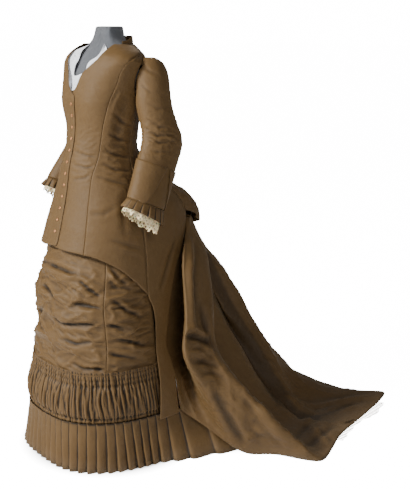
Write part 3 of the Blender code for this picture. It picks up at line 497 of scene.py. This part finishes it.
def roundness(mesh):
    """How hollow the cloth is at each vertex, from -1 on a ridge to 1 in a valley."""
    points, normals = points_of(mesh), points_of(mesh, "normal")
    ends = np.empty(len(mesh.edges) * 2, int)
    mesh.edges.foreach_get("vertices", ends)
    a, b = ends.reshape(-1, 2).T
    hollow, count = np.zeros(len(points)), np.zeros(len(points))
    for here, there in ((a, b), (b, a)):
        step = points[there] - points[here]
        lift = np.einsum("ij,ij->i", step, normals[here])
        lift /= np.maximum(np.linalg.norm(step, axis=1), 1e-6) ** 2
        np.add.at(hollow, here, lift)
        np.add.at(count, here, 1)
    hollow /= np.maximum(count, 1)
    for _ in range(2):
        spread, weight = hollow.copy(), np.ones(len(points))
        for here, there in ((a, b), (b, a)):
            np.add.at(spread, here, hollow[there])
            np.add.at(weight, here, 1)
        hollow = spread / weight
    return np.clip(hollow / FULL_CURVE, -1, 1)


def thread_places(kind, points):
    """Distance across and down the cloth at each point, which its weave is drawn by."""
    x, y, z = points.T
    if kind == "train":
        return train_places(points)
    if kind in ("sleeve", "cuff", "ruffle"):
        turn = np.arctan2(np.abs(x) - .2, .04 - y)
        return turn * .06, -z - .2 * y
    return np.arctan2(x, -y) * .2, -z


def walled(obj, thickness):
    """Gives the cloth its thickness, inwards from the outer layer."""
    wall = obj.modifiers.new("Wall", "SOLIDIFY")
    wall.thickness = thickness
    wall.offset = -1
    wall.use_even_offset = False
    applied(obj)


def shade_smooth(obj):
    """Smooth shading on every face."""
    obj.data.polygons.foreach_set("use_smooth", np.ones(len(obj.data.polygons), bool))
    obj.data.update()


def refined(node, settings):
    """The creased outer layer of one cloth node, still a single sheet."""
    kind = cloth_kind(node)
    wall = THIN_WALL if kind in ("lace", "neck_fill") else SILK_WALL
    obj = new_object(node + "_cloth", outer_layer(node, wall))
    row = CLOTHS[kind]
    smoothed(obj, row.levels, row.passes)
    creased(obj, kind, settings.crease_strength)
    return obj


def declare(obj, node, material):
    """Gives a finished piece its material, smooth shading and its body, in place of the node."""
    obj.data.materials.clear()
    obj.data.materials.append(material)
    shade_smooth(obj)
    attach(obj, "root")
    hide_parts(node)


def cloth_piece(node, settings, material):
    """Builds one cloth piece from its node."""
    obj = refined(node, settings)
    walled(obj, settings.wall)
    declare(obj, node, material)
    return obj


class Nodes:
    """A short way to build one material's node tree."""

    def __init__(self, name):
        self.material = bpy.data.materials.new(name)
        self.material.use_nodes = True
        self.tree = self.material.node_tree
        self.shader = self.tree.nodes["Principled BSDF"]

    def add(self, kind, inputs=(), **settings):
        """Adds a node, sets its own settings, and links or sets its inputs."""
        node = self.tree.nodes.new(kind)
        for key, value in settings.items():
            setattr(node, key, value)
        for key, value in dict(inputs).items():
            self.put(node.inputs[key], value)
        return node

    def put(self, socket, value):
        """Links an output to this socket, or sets the socket's value."""
        if isinstance(value, bpy.types.NodeSocket):
            self.tree.links.new(value, socket)
        else:
            socket.default_value = value

    def math(self, operation, a, b=0.0, clamp=False):
        """A maths node's result."""
        return self.add("ShaderNodeMath", {0: a, 1: b}, operation=operation, use_clamp=clamp).outputs[0]

    def times(self, a, b, clamp=False):
        """The product of two values."""
        return self.math("MULTIPLY", a, b, clamp)

    def waves(self, value, length):
        """A wave from -1 to 1, this long."""
        return self.math("SINE", self.times(value, 2 * math.pi / length))

    def mix(self, factor, a, b):
        """Two colours mixed by a factor."""
        return self.add("ShaderNodeMix", {0: factor, 6: a, 7: b}, data_type="RGBA").outputs[2]

    def noise(self, place, scale, detail=3.0, roughness=.5):
        """Noise from 0 to 1 at a place."""
        node = self.add("ShaderNodeTexNoise", {"Vector": place, "Scale": scale, "Detail": detail,
                                               "Roughness": roughness})
        return node.outputs[0]

    def attribute(self, name):
        """A mesh attribute's value."""
        return self.add("ShaderNodeAttribute", attribute_name=name).outputs["Fac"]

    def place(self):
        """The object's own coordinates."""
        return self.add("ShaderNodeTexCoord").outputs["Object"]

    def spread(self, value, low, high):
        """Stretches a value from 0..1 to low..high."""
        return self.add("ShaderNodeMapRange", {0: value, 3: low, 4: high}).outputs[0]

    def bump(self, *heights):
        """Bumps from pairs of height and depth in metres, chained one after another."""
        normal = None
        for height, depth in heights:
            inputs = {"Height": height, "Distance": depth, "Strength": 1.0}
            if normal is not None:
                inputs["Normal"] = normal
            normal = self.add("ShaderNodeBump", inputs).outputs[0]
        self.put(self.shader.inputs["Normal"], normal)

    def set(self, **values):
        """Sets or links the shader's sockets by name, with _ for a space."""
        for key, value in values.items():
            self.put(self.shader.inputs[key.replace("_", " ")], value)
        return self.material


def tinted(colour, factor):
    """A colour made lighter or darker, as RGBA."""
    return tuple(min(c * factor, 1) for c in tuple(colour)[:3]) + (1,)


def silk(colours):
    """Brown silk faille: cross ribs, slubs, painted shade in the folds, ridges lightened as wear and painted
    highlight, and a dusty hem.
    """
    if "Silk faille" in bpy.data.materials:
        return bpy.data.materials["Silk faille"]
    n = Nodes("Silk faille")
    place, fold = n.place(), n.attribute("fold")
    across, down = n.attribute("across"), n.attribute("down")
    thread = n.add("ShaderNodeCombineXYZ", {0: n.times(across, .12), 1: down}).outputs[0]
    slub = n.noise(thread, 420, 2)
    cloud = n.noise(place, 5, 3)
    fine = n.noise(place, 38, 4)
    base = n.mix(cloud, tinted(colours.silk, .86), tinted(colours.silk, 1.12))
    base = n.mix(n.spread(slub, 0, .5), base, tinted(colours.silk, .78))
    base = n.mix(n.times(fine, .3), base, tinted(colours.silk, 1.25))
    # Painted shade: the fold attribute darkens hollows and creases
    base = n.mix(n.times(fold, .95, True), base, tinted(colours.silk, .18))
    # Ridges lightened by the fold attribute: partly wear, partly painted highlight
    wear_and_highlight = n.times(n.times(fold, -1, True), .35)
    base = n.mix(wear_and_highlight, base, tinted(colours.silk, 1.3))
    height = n.add("ShaderNodeSeparateXYZ", {0: place}).outputs[2]
    low = n.add("ShaderNodeMapRange", {0: height, 1: .05, 2: .0, 3: 0, 4: .22}).outputs[0]
    base = n.mix(n.times(low, fine), base, (.20, .17, .13, 1))
    rib = n.waves(down, .0012)
    warp = n.waves(across, .0009)
    crush = n.noise(place, 55, 5, .55)
    n.bump((crush, .0008), (n.noise(place, 17, 3), .003), (rib, .00005), (warp, .00002))
    return n.set(Base_Color=base, Roughness=n.spread(n.noise(place, 60, 3), .50, .68), Sheen_Weight=.14,
                 Sheen_Roughness=.35, Sheen_Tint=(.75, .55, .32, 1), Specular_IOR_Level=.30)


def lace_cloth(colours):
    """Cream cotton lace: knotted threads, aged unevenly."""
    if "Cotton lace" in bpy.data.materials:
        return bpy.data.materials["Cotton lace"]
    n = Nodes("Cotton lace")
    place = n.place()
    base = n.mix(n.noise(place, 30, 3), tinted(colours.lace, 1.0), tinted(colours.lace, .80))
    knots = n.add("ShaderNodeTexVoronoi", {"Vector": place, "Scale": 900}).outputs[0]
    n.bump((knots, .0003), (n.noise(place, 240, 3), .0006))
    return n.set(Base_Color=base, Roughness=n.spread(n.noise(place, 80, 2), .75, .95), Sheen_Weight=.2,
                 Subsurface_Weight=.12, Subsurface_Scale=.004)


def cotton(colours):
    """White crinkled cotton of the neck filling, with bluish-grey painted shade in its hollows."""
    n = Nodes("Crinkled cotton")
    place, fold = n.place(), n.attribute("fold")
    base = n.mix(n.noise(place, 22, 3), tinted(colours.cotton, 1), tinted(colours.cotton, .9))
    # Painted shade: hollows darkened to bluish grey by the fold attribute
    base = n.mix(n.times(fold, .6, True), base, (.42, .43, .47, 1))
    weave = n.add("ShaderNodeTexWave", {"Vector": place, "Scale": 320, "Distortion": 2.0}).outputs[1]
    n.bump((n.noise(place, 120, 4, .6), .0012), (weave, .00008))
    return n.set(Base_Color=base, Roughness=n.spread(n.noise(place, 90, 2), .7, .92), Sheen_Weight=.15)


def copper(colours):
    """Copper-coloured buttons, unevenly toned."""
    n = Nodes("Copper buttons")
    place = n.place()
    cloud = n.noise(place, 420, 4)
    base = n.mix(cloud, tinted(colours.copper, .55), tinted(colours.copper, 1.2))
    n.bump((n.noise(place, 1400, 3), .0002),)
    return n.set(Base_Color=base, Metallic=.6, Roughness=n.spread(cloud, .30, .55))


def knit(colours):
    """Grey jersey of the dress form, with its loops and a little pilling."""
    n = Nodes("Grey jersey")
    place = n.place()
    xyz = n.add("ShaderNodeSeparateXYZ", {0: place})
    row = n.waves(xyz.outputs[2], .0021)
    turn = n.math("ARCTAN2", xyz.outputs[0], xyz.outputs[1])
    wale = n.math("SINE", n.times(turn, 260))
    loops = n.times(row, wale)
    base = n.mix(n.noise(place, 60, 4), tinted(colours.form, .8), tinted(colours.form, 1.25))
    base = n.mix(n.spread(loops, .0, .35), base, tinted(colours.form, .55))
    n.bump((loops, .00025), (n.noise(place, 300, 3), .0005))
    return n.set(Base_Color=base, Roughness=n.spread(n.noise(place, 40, 2), .8, .98), Sheen_Weight=.3,
                 Sheen_Roughness=.5)


def paint(colours):
    """Dark satin paint of the stand, scuffed and dusty."""
    n = Nodes("Stand paint")
    place = n.place()
    scuff = n.noise(place, 90, 5, .65)
    base = n.mix(n.spread(scuff, -.6, .9), tinted(colours.paint, 1), tinted(colours.paint, 1.9))
    n.bump((n.noise(place, 500, 3), .0001), (scuff, .0002))
    return n.set(Base_Color=base, Roughness=n.spread(scuff, .32, .62), Metallic=.2)


def thread_cotton(colours):
    """Sewing thread, a shade darker than the silk."""
    if "Sewing thread" in bpy.data.materials:
        return bpy.data.materials["Sewing thread"]
    n = Nodes("Sewing thread")
    place = n.place()
    base = n.mix(n.noise(place, 700, 2), tinted(colours.silk, .45), tinted(colours.silk, .8))
    n.bump((n.noise(place, 1800, 2), .0002),)
    return n.set(Base_Color=base, Roughness=n.spread(n.noise(place, 900, 2), .5, .8))


def instance_tree(name):
    """Geometry nodes that put one copy of an object on every point, turned by the point's own turn."""
    tree = bpy.data.node_groups.new(name, "GeometryNodeTree")
    sockets = {"Points": "Geometry", "Copy": "Object", "Material": "Material", "Size": "Float"}
    for label, kind in sockets.items():
        tree.interface.new_socket(label, in_out="INPUT", socket_type="NodeSocket" + kind)
    tree.interface.new_socket("Geometry", in_out="OUTPUT", socket_type="NodeSocketGeometry")
    new = tree.nodes.new
    given, made = new("NodeGroupInput"), new("NodeGroupOutput")
    copy, on_points = new("GeometryNodeObjectInfo"), new("GeometryNodeInstanceOnPoints")
    turn = new("GeometryNodeInputNamedAttribute")
    turn.data_type = "FLOAT_VECTOR"
    turn.inputs["Name"].default_value = "turn"
    real, paint_it = new("GeometryNodeRealizeInstances"), new("GeometryNodeSetMaterial")
    for source, result, target, taken in (
            (given, "Points", on_points, "Points"), (given, "Copy", copy, "Object"),
            (copy, "Geometry", on_points, "Instance"), (turn, "Attribute", on_points, "Rotation"),
            (given, "Size", on_points, "Scale"), (on_points, "Instances", real, "Geometry"),
            (real, "Geometry", paint_it, "Geometry"), (given, "Material", paint_it, "Material"),
            (paint_it, "Geometry", made, "Geometry")):
        tree.links.new(source.outputs[result], target.inputs[taken])
    return tree


def repeated(name, template, frames, material, size=1.0):
    """One piece made of copies of a template mesh, a copy in each frame, a 4 by 4 matrix."""
    points = bpy.data.meshes.new(name)
    points.from_pydata([m.translation[:] for m in frames], [], [])
    turn = points.attributes.new("turn", "FLOAT_VECTOR", "POINT")
    turn.data.foreach_set("vector", np.array([m.to_euler()[:] for m in frames]).ravel())
    obj = new_object(name, points)
    copy = new_object(name + "_copy", template)
    tree = instance_tree("Repeat " + name)
    modifier = obj.modifiers.new("Repeat", "NODES")
    modifier.node_group = tree
    values = {"Copy": copy, "Material": material, "Size": size}
    for item in tree.interface.items_tree:
        if item.in_out == "INPUT" and item.name in values:
            modifier[item.identifier] = values[item.name]
    applied(obj)
    bpy.data.objects.remove(copy)
    shade_smooth(obj)
    return obj


def skinned(name, rings):
    """A closed mesh over rings of points. A ring of one point is a tip; a larger end ring is filled."""
    bm = bmesh.new()
    rings = [[bm.verts.new(place) for place in ring] for ring in rings]
    for upper, lower in zip(rings[:-1], rings[1:]):
        count = max(len(upper), len(lower))
        for i in range(count):
            j = (i + 1) % count
            around = [ring[k % len(ring)] for ring, k in ((upper, i), (lower, i), (lower, j), (upper, j))]
            bm.faces.new(list(dict.fromkeys(around)))
    for end in (rings[0][::-1], rings[-1]):
        if len(end) > 1:
            bm.faces.new(end)
    bmesh.ops.recalc_face_normals(bm, faces=bm.faces[:])
    return mesh_from(name, bm)


def turned(name, profile, segments):
    """A turned mesh from a profile of radius and height in millimetres."""
    turns = [2 * math.pi * i / segments for i in range(segments)]
    return skinned(name, [[(r / 1000 * math.cos(a), r / 1000 * math.sin(a), height / 1000)
                           for a in (turns if r > 0 else turns[:1])] for r, height in profile])


def stitch_mesh(length, radius):
    """One stitch: a short thread along X, dipping into the cloth at both ends."""
    turns = [math.radians(60 * k) for k in range(6)]
    return skinned("stitch", [[(t * length / 2, r * radius * math.cos(a),
                                r * radius * math.sin(a) + .35 * radius) for a in turns]
                              for t, r in ((-1, .25), (-.8, .8), (0, 1), (.8, .8), (1, .25))])


def upright(place, along, out):
    """A frame at a place, its X along the sewing and its Z out of the cloth."""
    z = Vector(out).normalized()
    x = Vector(along).normalized()
    y = z.cross(x).normalized()
    x = y.cross(z)
    return Matrix.Translation(place) @ Matrix((x, y, z)).transposed().to_4x4()


def button_frame(node):
    """Where a packed button sits and which way it faces."""
    points = points_of(frame["nodes"][node].data)
    middle = points.mean(0)
    out = np.linalg.eigh(np.cov((points - middle).T))[1][:, 0]
    if out[1] > 0:  # Buttons face the front, towards -Y
        out = -out
    low = ((points - middle) @ out).min()
    return upright(Vector(middle + out * low), (0, 0, 1), out)


def surface_of(names):
    """A search tree over finished pieces, for laying sewing on them."""
    points, faces = [], []
    for name in names:
        mesh = bpy.data.objects[name].data
        start = len(points)
        points += [v.co.copy() for v in mesh.vertices]
        faces += [[start + i for i in p.vertices] for p in mesh.polygons]
    return BVHTree.FromPolygons(points, faces)


def sewn_line(tree, path, pitch):
    """Frames of stitches along a path, laid on the outside of the cloth."""
    path = [Vector(p) for p in path]
    frames, carried = [], 0.0
    for a, b in zip(path[:-1], path[1:]):
        length = (b - a).length
        while carried < length:
            guess = a.lerp(b, carried / length)
            place, normal, _, away = tree.find_nearest(guess)
            if place is not None and away < STITCH_REACH:
                if normal.dot(guess - behind("bodice", guess)) < 0:
                    normal = -normal
                frames.append(upright(place, b - a, normal))
            carried += pitch
        carried -= length
    return frames


class DressClothSettings(bpy.types.PropertyGroup):
    """How the cloth is refined."""
    wall: bpy.props.FloatProperty(name="Cloth thickness", default=SILK_WALL, unit="LENGTH",
                                  description="Thickness of the silk with its lining")
    crease_strength: bpy.props.FloatProperty(name="Crease strength", subtype="FACTOR", default=1.0,
                                             description="Depth of creases against the photograph's")
    lace_wall: bpy.props.FloatProperty(name="Lace thickness", description="Thickness of the lace's threads",
                                       default=.0007, unit="LENGTH")


class DressSewingSettings(bpy.types.PropertyGroup):
    """Stitches and buttonholes."""
    stitch: bpy.props.FloatProperty(name="Stitch length", description="Length of one stitch",
                                    default=.0026, unit="LENGTH")
    pitch: bpy.props.FloatProperty(name="Stitch spacing", description="From one stitch to the next",
                                   default=.0040, unit="LENGTH")
    thread: bpy.props.FloatProperty(name="Thread radius", description="Radius of the sewing thread",
                                    default=.00028, unit="LENGTH")


class DressColours(bpy.types.PropertyGroup):
    """Colours read off the photograph, as linear values."""
    silk: bpy.props.FloatVectorProperty(name="Silk", description="Lit brown silk", subtype="COLOR",
                                        default=(.108, .061, .0205))
    lace: bpy.props.FloatVectorProperty(name="Lace", description="Cream lace", subtype="COLOR",
                                        default=(.86, .71, .42))
    cotton: bpy.props.FloatVectorProperty(name="Cotton", description="White cotton at the neck",
                                          subtype="COLOR", default=(.88, .90, .95))
    copper: bpy.props.FloatVectorProperty(name="Buttons", description="Copper of the buttons",
                                          subtype="COLOR", default=(.44, .205, .09))
    form: bpy.props.FloatVectorProperty(name="Form", description="Grey jersey of the form", subtype="COLOR",
                                        default=(.085, .092, .105))
    paint: bpy.props.FloatVectorProperty(name="Stand", description="Paint of the stand", subtype="COLOR",
                                         default=(.035, .035, .038))


class DressStageSettings(bpy.types.PropertyGroup):
    """Camera and light."""
    azimuth: bpy.props.FloatProperty(name="Camera azimuth", description="Turn of the camera round the dress",
                                     default=math.radians(57), subtype="ANGLE")
    distance: bpy.props.FloatProperty(name="Camera distance", default=3.0, unit="LENGTH",
                                      description="From the stand's axis, along the floor")
    height: bpy.props.FloatProperty(name="Camera height", description="Height of the lens above the floor",
                                    default=1.45, unit="LENGTH")
    pitch: bpy.props.FloatProperty(name="Camera pitch", description="Downward tilt of the camera",
                                   default=math.radians(14.1), subtype="ANGLE")
    yaw: bpy.props.FloatProperty(name="Camera yaw", default=math.radians(6.347), subtype="ANGLE",
                                 description="Turn that puts the dress left of the middle")
    key: bpy.props.FloatProperty(name="Key light", description="Power of the key light", default=375,
                                 unit="POWER")
    fill: bpy.props.FloatProperty(name="Fill light", description="Brightness of the room", default=.17,
                                  subtype="FACTOR", soft_max=2)
    floor_glow: bpy.props.FloatProperty(name="Floor glow", default=15.5, subtype="FACTOR", soft_max=20,
                                        description="Brightness added to the floor in the picture")
    backdrop: bpy.props.FloatProperty(name="Backdrop", default=16, subtype="FACTOR", soft_max=20,
                                      description="Brightness of the backdrop in the picture")
    lens: bpy.props.FloatProperty(name="Focal length", description="Focal length of the lens",
                                  default=66.1, subtype="DISTANCE_CAMERA")


class DressPiece:
    """What every operator of this add-on shares."""
    bl_options = {"REGISTER", "UNDO"}

    def execute(self, context):
        """Builds the piece, and raises if what it needs is missing."""
        if not frame["nodes"]:
            raise RuntimeError("the packed frame holds no nodes")
        self.build(context.scene)
        return {"FINISHED"}


class DressSilk(DressPiece):
    """What the operators that build plain silk share."""
    starts = ()  # Words that the names of its nodes begin with

    def build(self, scene):
        """Refines each of its nodes."""
        for node in nodes_named(*self.starts):
            cloth_piece(node, scene.dress_cloth, silk(scene.dress_colours))


class DRESS_OT_bodice(DressSilk, bpy.types.Operator):
    """Builds the bodice panels and the collar"""
    bl_idname = "dress.bodice"
    bl_label = "Bodice"
    starts = ("bodice", "collar")


class DRESS_OT_sleeves(DressSilk, bpy.types.Operator):
    """Builds the sleeves, cuffs and cuff ruffles"""
    bl_idname = "dress.sleeves"
    bl_label = "Sleeves"
    starts = ("sleeve", "cuff_left", "cuff_right", "cuff_ruffle")


class DRESS_OT_skirt(DressSilk, bpy.types.Operator):
    """Builds the underskirt with its gathered and pleated flounces"""
    bl_idname = "dress.skirt"
    bl_label = "Skirt"
    starts = ("skirt", "gathered", "hem")


class DRESS_OT_train(DressSilk, bpy.types.Operator):
    """Builds the bustle puff and the train"""
    bl_idname = "dress.train"
    bl_label = "Train"
    starts = ("bustle_puff", "train_left", "train_right")


def lace_places(node, points):
    """Repeats along the lace, and depth from its top edge to its free edge, 0 to 1, at each point."""
    offset = points - points.mean(0)
    if node == "train_lace":
        flat = offset[:, :2]
        longest = np.linalg.svd(flat, full_matrices=False)[2][0]
        return flat @ longest / LACE_REPEAT, np.full(len(points), .5)
    side = 1 if node.endswith("left") else -1
    axis = np.array((side * .05, -.33, -.94))  # Down the forearm
    axis /= np.linalg.norm(axis)
    along = offset @ axis
    first = np.cross(axis, (1, 0, 0))
    first /= np.linalg.norm(first)
    turn = np.arctan2(offset @ first, offset @ np.cross(axis, first))
    return turn * CUFF_REPEATS / (2 * math.pi), (along - along.min()) / np.ptp(along)


def open_mesh(u, v):
    """Whether a place in the lace is in a hole: two sets of round holes, clear of both edges."""
    rows = v * LACE_ROWS
    large = math.hypot(u % 1 - .5, rows % 1 - .5)
    small = math.hypot((u + .5) % 1 - .5, (rows + .5) % 1 - .5)
    return (large < LARGE_HOLE or small < SMALL_HOLE) and LACE_HEAD < v < LACE_FOOT


class DRESS_OT_lace(DressPiece, bpy.types.Operator):
    """Builds the lace at the wrists and under the train"""
    bl_idname = "dress.lace"
    bl_label = "Lace"

    def build(self, scene):
        """Cuts the holes into the refined lace, and gives it its thickness."""
        for node in nodes_named("cuff_lace", "train_lace"):
            obj = refined(node, scene.dress_cloth)
            turn, depth = lace_places(node, points_of(obj.data))
            bm = bmesh.new()
            bm.from_mesh(obj.data)
            bm.verts.ensure_lookup_table()
            cut = []
            for face in bm.faces:
                around = [vert.index for vert in face.verts]
                if open_mesh(float(np.mean(turn[around])), float(np.mean(depth[around]))):
                    cut.append(face)
            bmesh.ops.delete(bm, geom=cut, context="FACES")
            bm.to_mesh(obj.data)
            bm.free()
            walled(obj, scene.dress_cloth.lace_wall)
            declare(obj, node, lace_cloth(scene.dress_colours))


class DRESS_OT_neck_fill(DressPiece, bpy.types.Operator):
    """Builds the white cotton filling at the neck"""
    bl_idname = "dress.neck_fill"
    bl_label = "Neck filling"

    def build(self, scene):
        """Refines and crinkles the neck filling."""
        obj = refined("neck_fill", scene.dress_cloth)
        walled(obj, COTTON_WALL)
        declare(obj, "neck_fill", cotton(scene.dress_colours))


class DRESS_OT_buttons(DressPiece, bpy.types.Operator):
    """Builds the twelve buttons"""
    bl_idname = "dress.buttons"
    bl_label = "Buttons"

    def build(self, scene):
        """Puts a turned button in the place of each packed one."""
        nodes = nodes_named("button")
        obj = repeated("buttons", turned("button", BUTTON, BUTTON_SIDES), [button_frame(n) for n in nodes],
                       copper(scene.dress_colours))
        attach(obj, "root")
        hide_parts(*nodes)


class DRESS_OT_sewing(DressPiece, bpy.types.Operator):
    """Sews the closing edge and the buttonholes"""
    bl_idname = "dress.sewing"
    bl_label = "Sewing"

    def build(self, scene):
        """Lays stitches on the finished cloth."""
        sewing, frames = scene.dress_sewing, []
        tree = surface_of([n + "_cloth" for n in nodes_named("bodice_front")])
        buttons = [button_frame(n).translation for n in nodes_named("button")]
        holes = [Vector((p.x - HOLE_SHIFT, p.y - HOLE_SHIFT, p.z)) for p in buttons]
        holes.append(buttons[0] + (buttons[0] - buttons[1]))
        for hole in holes:
            for side in (-1, 1):
                path = [hole + Vector((x, 0, side * HOLE_SLIT)) for x in (-HOLE_HALF, HOLE_HALF)]
                frames += sewn_line(tree, path, HOLE_PITCH)
        frames += sewn_line(tree, [place - Vector((EDGE_SEAM, 0, 0)) for place in buttons], sewing.pitch)
        obj = repeated("stitches", stitch_mesh(sewing.stitch, sewing.thread), frames,
                       thread_cotton(scene.dress_colours))
        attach(obj, "root")


class DRESS_OT_form(DressPiece, bpy.types.Operator):
    """Builds the dress form and finishes its stand"""
    bl_idname = "dress.form"
    bl_label = "Dress form"

    def build(self, scene):
        """Smooths the form's torso and paints the stand."""
        bm = welded("form_torso")
        bmesh.ops.join_triangles(bm, faces=bm.faces[:], angle_face_threshold=JOIN_ANGLE,
                                 angle_shape_threshold=JOIN_ANGLE)
        obj = new_object("dress_form", mesh_from("dress_form", bm))
        smooth = obj.modifiers.new("Smooth", "SUBSURF")
        smooth.levels = smooth.render_levels = 2
        applied(obj)
        declare(obj, "form_torso", knit(scene.dress_colours))
        finish = paint(scene.dress_colours)
        for name in ("stand_pole", "stand_base"):
            node = frame["nodes"][name]
            node.data.materials.clear()
            node.data.materials.append(finish)


def area_light(name, place, size, power, colour):
    """A soft square light that looks at the dress."""
    data = bpy.data.lights.new(name, "AREA")
    data.shape, data.size, data.energy, data.color = "SQUARE", size, power, colour
    obj = bpy.data.objects.new(name, data)
    obj.location = place
    obj.rotation_euler = (Vector(LIT) - Vector(place)).to_track_quat("-Z", "Y").to_euler()
    bpy.context.scene.collection.objects.link(obj)


def pale_floor(stage):
    """A wide floor that looks white in the picture, but for ellipses under the dress where its glow is left
    off as painted shadow.
    """
    mesh = bpy.data.meshes.new("floor")
    square = [(x * FLOOR_HALF, y * FLOOR_HALF, 0) for x, y in ((-1, -1), (1, -1), (1, 1), (-1, 1))]
    mesh.from_pydata(square, [], [(0, 1, 2, 3)])
    floor = new_object("floor", mesh)
    n = Nodes("Pale floor")
    xyz = n.add("ShaderNodeSeparateXYZ", {0: n.place()})
    rounds = []
    for (x, y), (half_width, half_length) in FOOTPRINT:
        dx = n.math("DIVIDE", n.math("SUBTRACT", xyz.outputs[0], x), half_width)
        dy = n.math("DIVIDE", n.math("SUBTRACT", xyz.outputs[1], y), half_length)
        rounds.append(n.math("SQRT", n.math("ADD", n.math("POWER", dx, 2), n.math("POWER", dy, 2))))
    # The painted shadow ends between these shares of an ellipse's half widths
    outside = n.add("ShaderNodeMapRange", {0: n.math("MINIMUM", *rounds), 1: .86, 2: 1.02})
    glow = n.times(outside.outputs[0], stage.floor_glow)
    seen = n.times(n.add("ShaderNodeLightPath").outputs["Is Camera Ray"], glow)
    n.bump((n.noise(n.place(), 3, 2), .0004),)
    shade = n.mix(n.noise(n.place(), .8, 2), (.92, .92, .92, 1), (.95, .95, .95, 1))
    floor.data.materials.append(n.set(Base_Color=shade, Roughness=.8, Emission_Color=(1, 1, 1, 1),
                                      Emission_Strength=seen))


def studio_world(stage):
    """Even light from all round, and a brighter backdrop where the camera sees it."""
    world = bpy.data.worlds.new("Studio")
    world.use_nodes = True
    nodes, links = world.node_tree.nodes, world.node_tree.links
    sky, seen = nodes["Background"], nodes.new("ShaderNodeLightPath")
    bright = nodes.new("ShaderNodeMapRange")
    bright.inputs[3].default_value, bright.inputs[4].default_value = stage.fill, stage.backdrop
    links.new(seen.outputs["Is Camera Ray"], bright.inputs[0])
    links.new(bright.outputs[0], sky.inputs[1])
    sky.inputs[0].default_value = (1, 1, 1, 1)
    return world


def photo_camera(stage):
    """The photograph's camera."""
    data = bpy.data.cameras.new("Camera")
    data.lens, data.sensor_width, data.clip_end = stage.lens, 36, 100
    camera = bpy.data.objects.new("Camera", data)
    a, yaw, pitch = stage.azimuth, stage.yaw, stage.pitch
    place = Vector((stage.distance * math.sin(a), -stage.distance * math.cos(a), stage.height))
    ahead, right = Vector((-math.sin(a), math.cos(a), 0)), Vector((math.cos(a), math.sin(a), 0))
    level = math.cos(yaw) * ahead + math.sin(yaw) * right
    right = math.cos(yaw) * right - math.sin(yaw) * ahead
    look = math.cos(pitch) * level - math.sin(pitch) * Vector((0, 0, 1))
    turn = Matrix((right, right.cross(look), -look)).transposed().to_4x4()
    camera.matrix_world = Matrix.Translation(place) @ turn
    return camera


class DRESS_OT_stage(DressPiece, bpy.types.Operator):
    """Builds the floor, the light and the camera"""
    bl_idname = "dress.stage"
    bl_label = "Stage"

    def build(self, scene):
        """A pale floor, soft studio light and the photograph's camera."""
        stage = scene.dress_stage
        pale_floor(stage)
        scene.world = studio_world(stage)
        for name, (place, size, share, colour) in LIGHTS.items():
            area_light(name, place, size, stage.key * share, colour)
        camera = photo_camera(stage)
        scene.collection.objects.link(camera)
        scene.camera = camera


class DRESS_PT_panel(bpy.types.Panel):
    """The add-on's panel in the sidebar"""
    bl_idname = "DRESS_PT_panel"
    bl_label = "Travelling dress"
    bl_space_type = "VIEW_3D"
    bl_region_type = "UI"
    bl_category = "Dress"

    def draw(self, context):
        """Lists the settings and the operators."""
        for name in SETTINGS:
            group = getattr(context.scene, name)
            box = self.layout.box()
            for key in group.bl_rna.properties.keys():
                if key not in ("rna_type", "name"):
                    box.prop(group, key)
        for operator in OPERATORS:
            self.layout.operator(operator.bl_idname)


SETTINGS = {
    "dress_cloth": DressClothSettings,
    "dress_sewing": DressSewingSettings,
    "dress_colours": DressColours,
    "dress_stage": DressStageSettings,
}
OPERATORS = (DRESS_OT_form, DRESS_OT_bodice, DRESS_OT_sleeves, DRESS_OT_skirt, DRESS_OT_train, DRESS_OT_lace,
             DRESS_OT_neck_fill, DRESS_OT_buttons, DRESS_OT_sewing, DRESS_OT_stage)


def register():
    """Adds the settings, operators and panel."""
    for name, group in SETTINGS.items():
        bpy.utils.register_class(group)
        setattr(bpy.types.Scene, name, bpy.props.PointerProperty(type=group))
    for cls in (*OPERATORS, DRESS_PT_panel):
        bpy.utils.register_class(cls)


def unregister():
    """Takes them away again."""
    for cls in (DRESS_PT_panel, *reversed(OPERATORS)):
        bpy.utils.unregister_class(cls)
    for name, group in SETTINGS.items():
        delattr(bpy.types.Scene, name)
        bpy.utils.unregister_class(group)


def main():
    """Builds every piece in order."""
    register()
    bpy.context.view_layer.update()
    for operator in OPERATORS:
        area, name = operator.bl_idname.split(".")
        getattr(getattr(bpy.ops, area), name)()


if __name__ == "__main__":
    main()
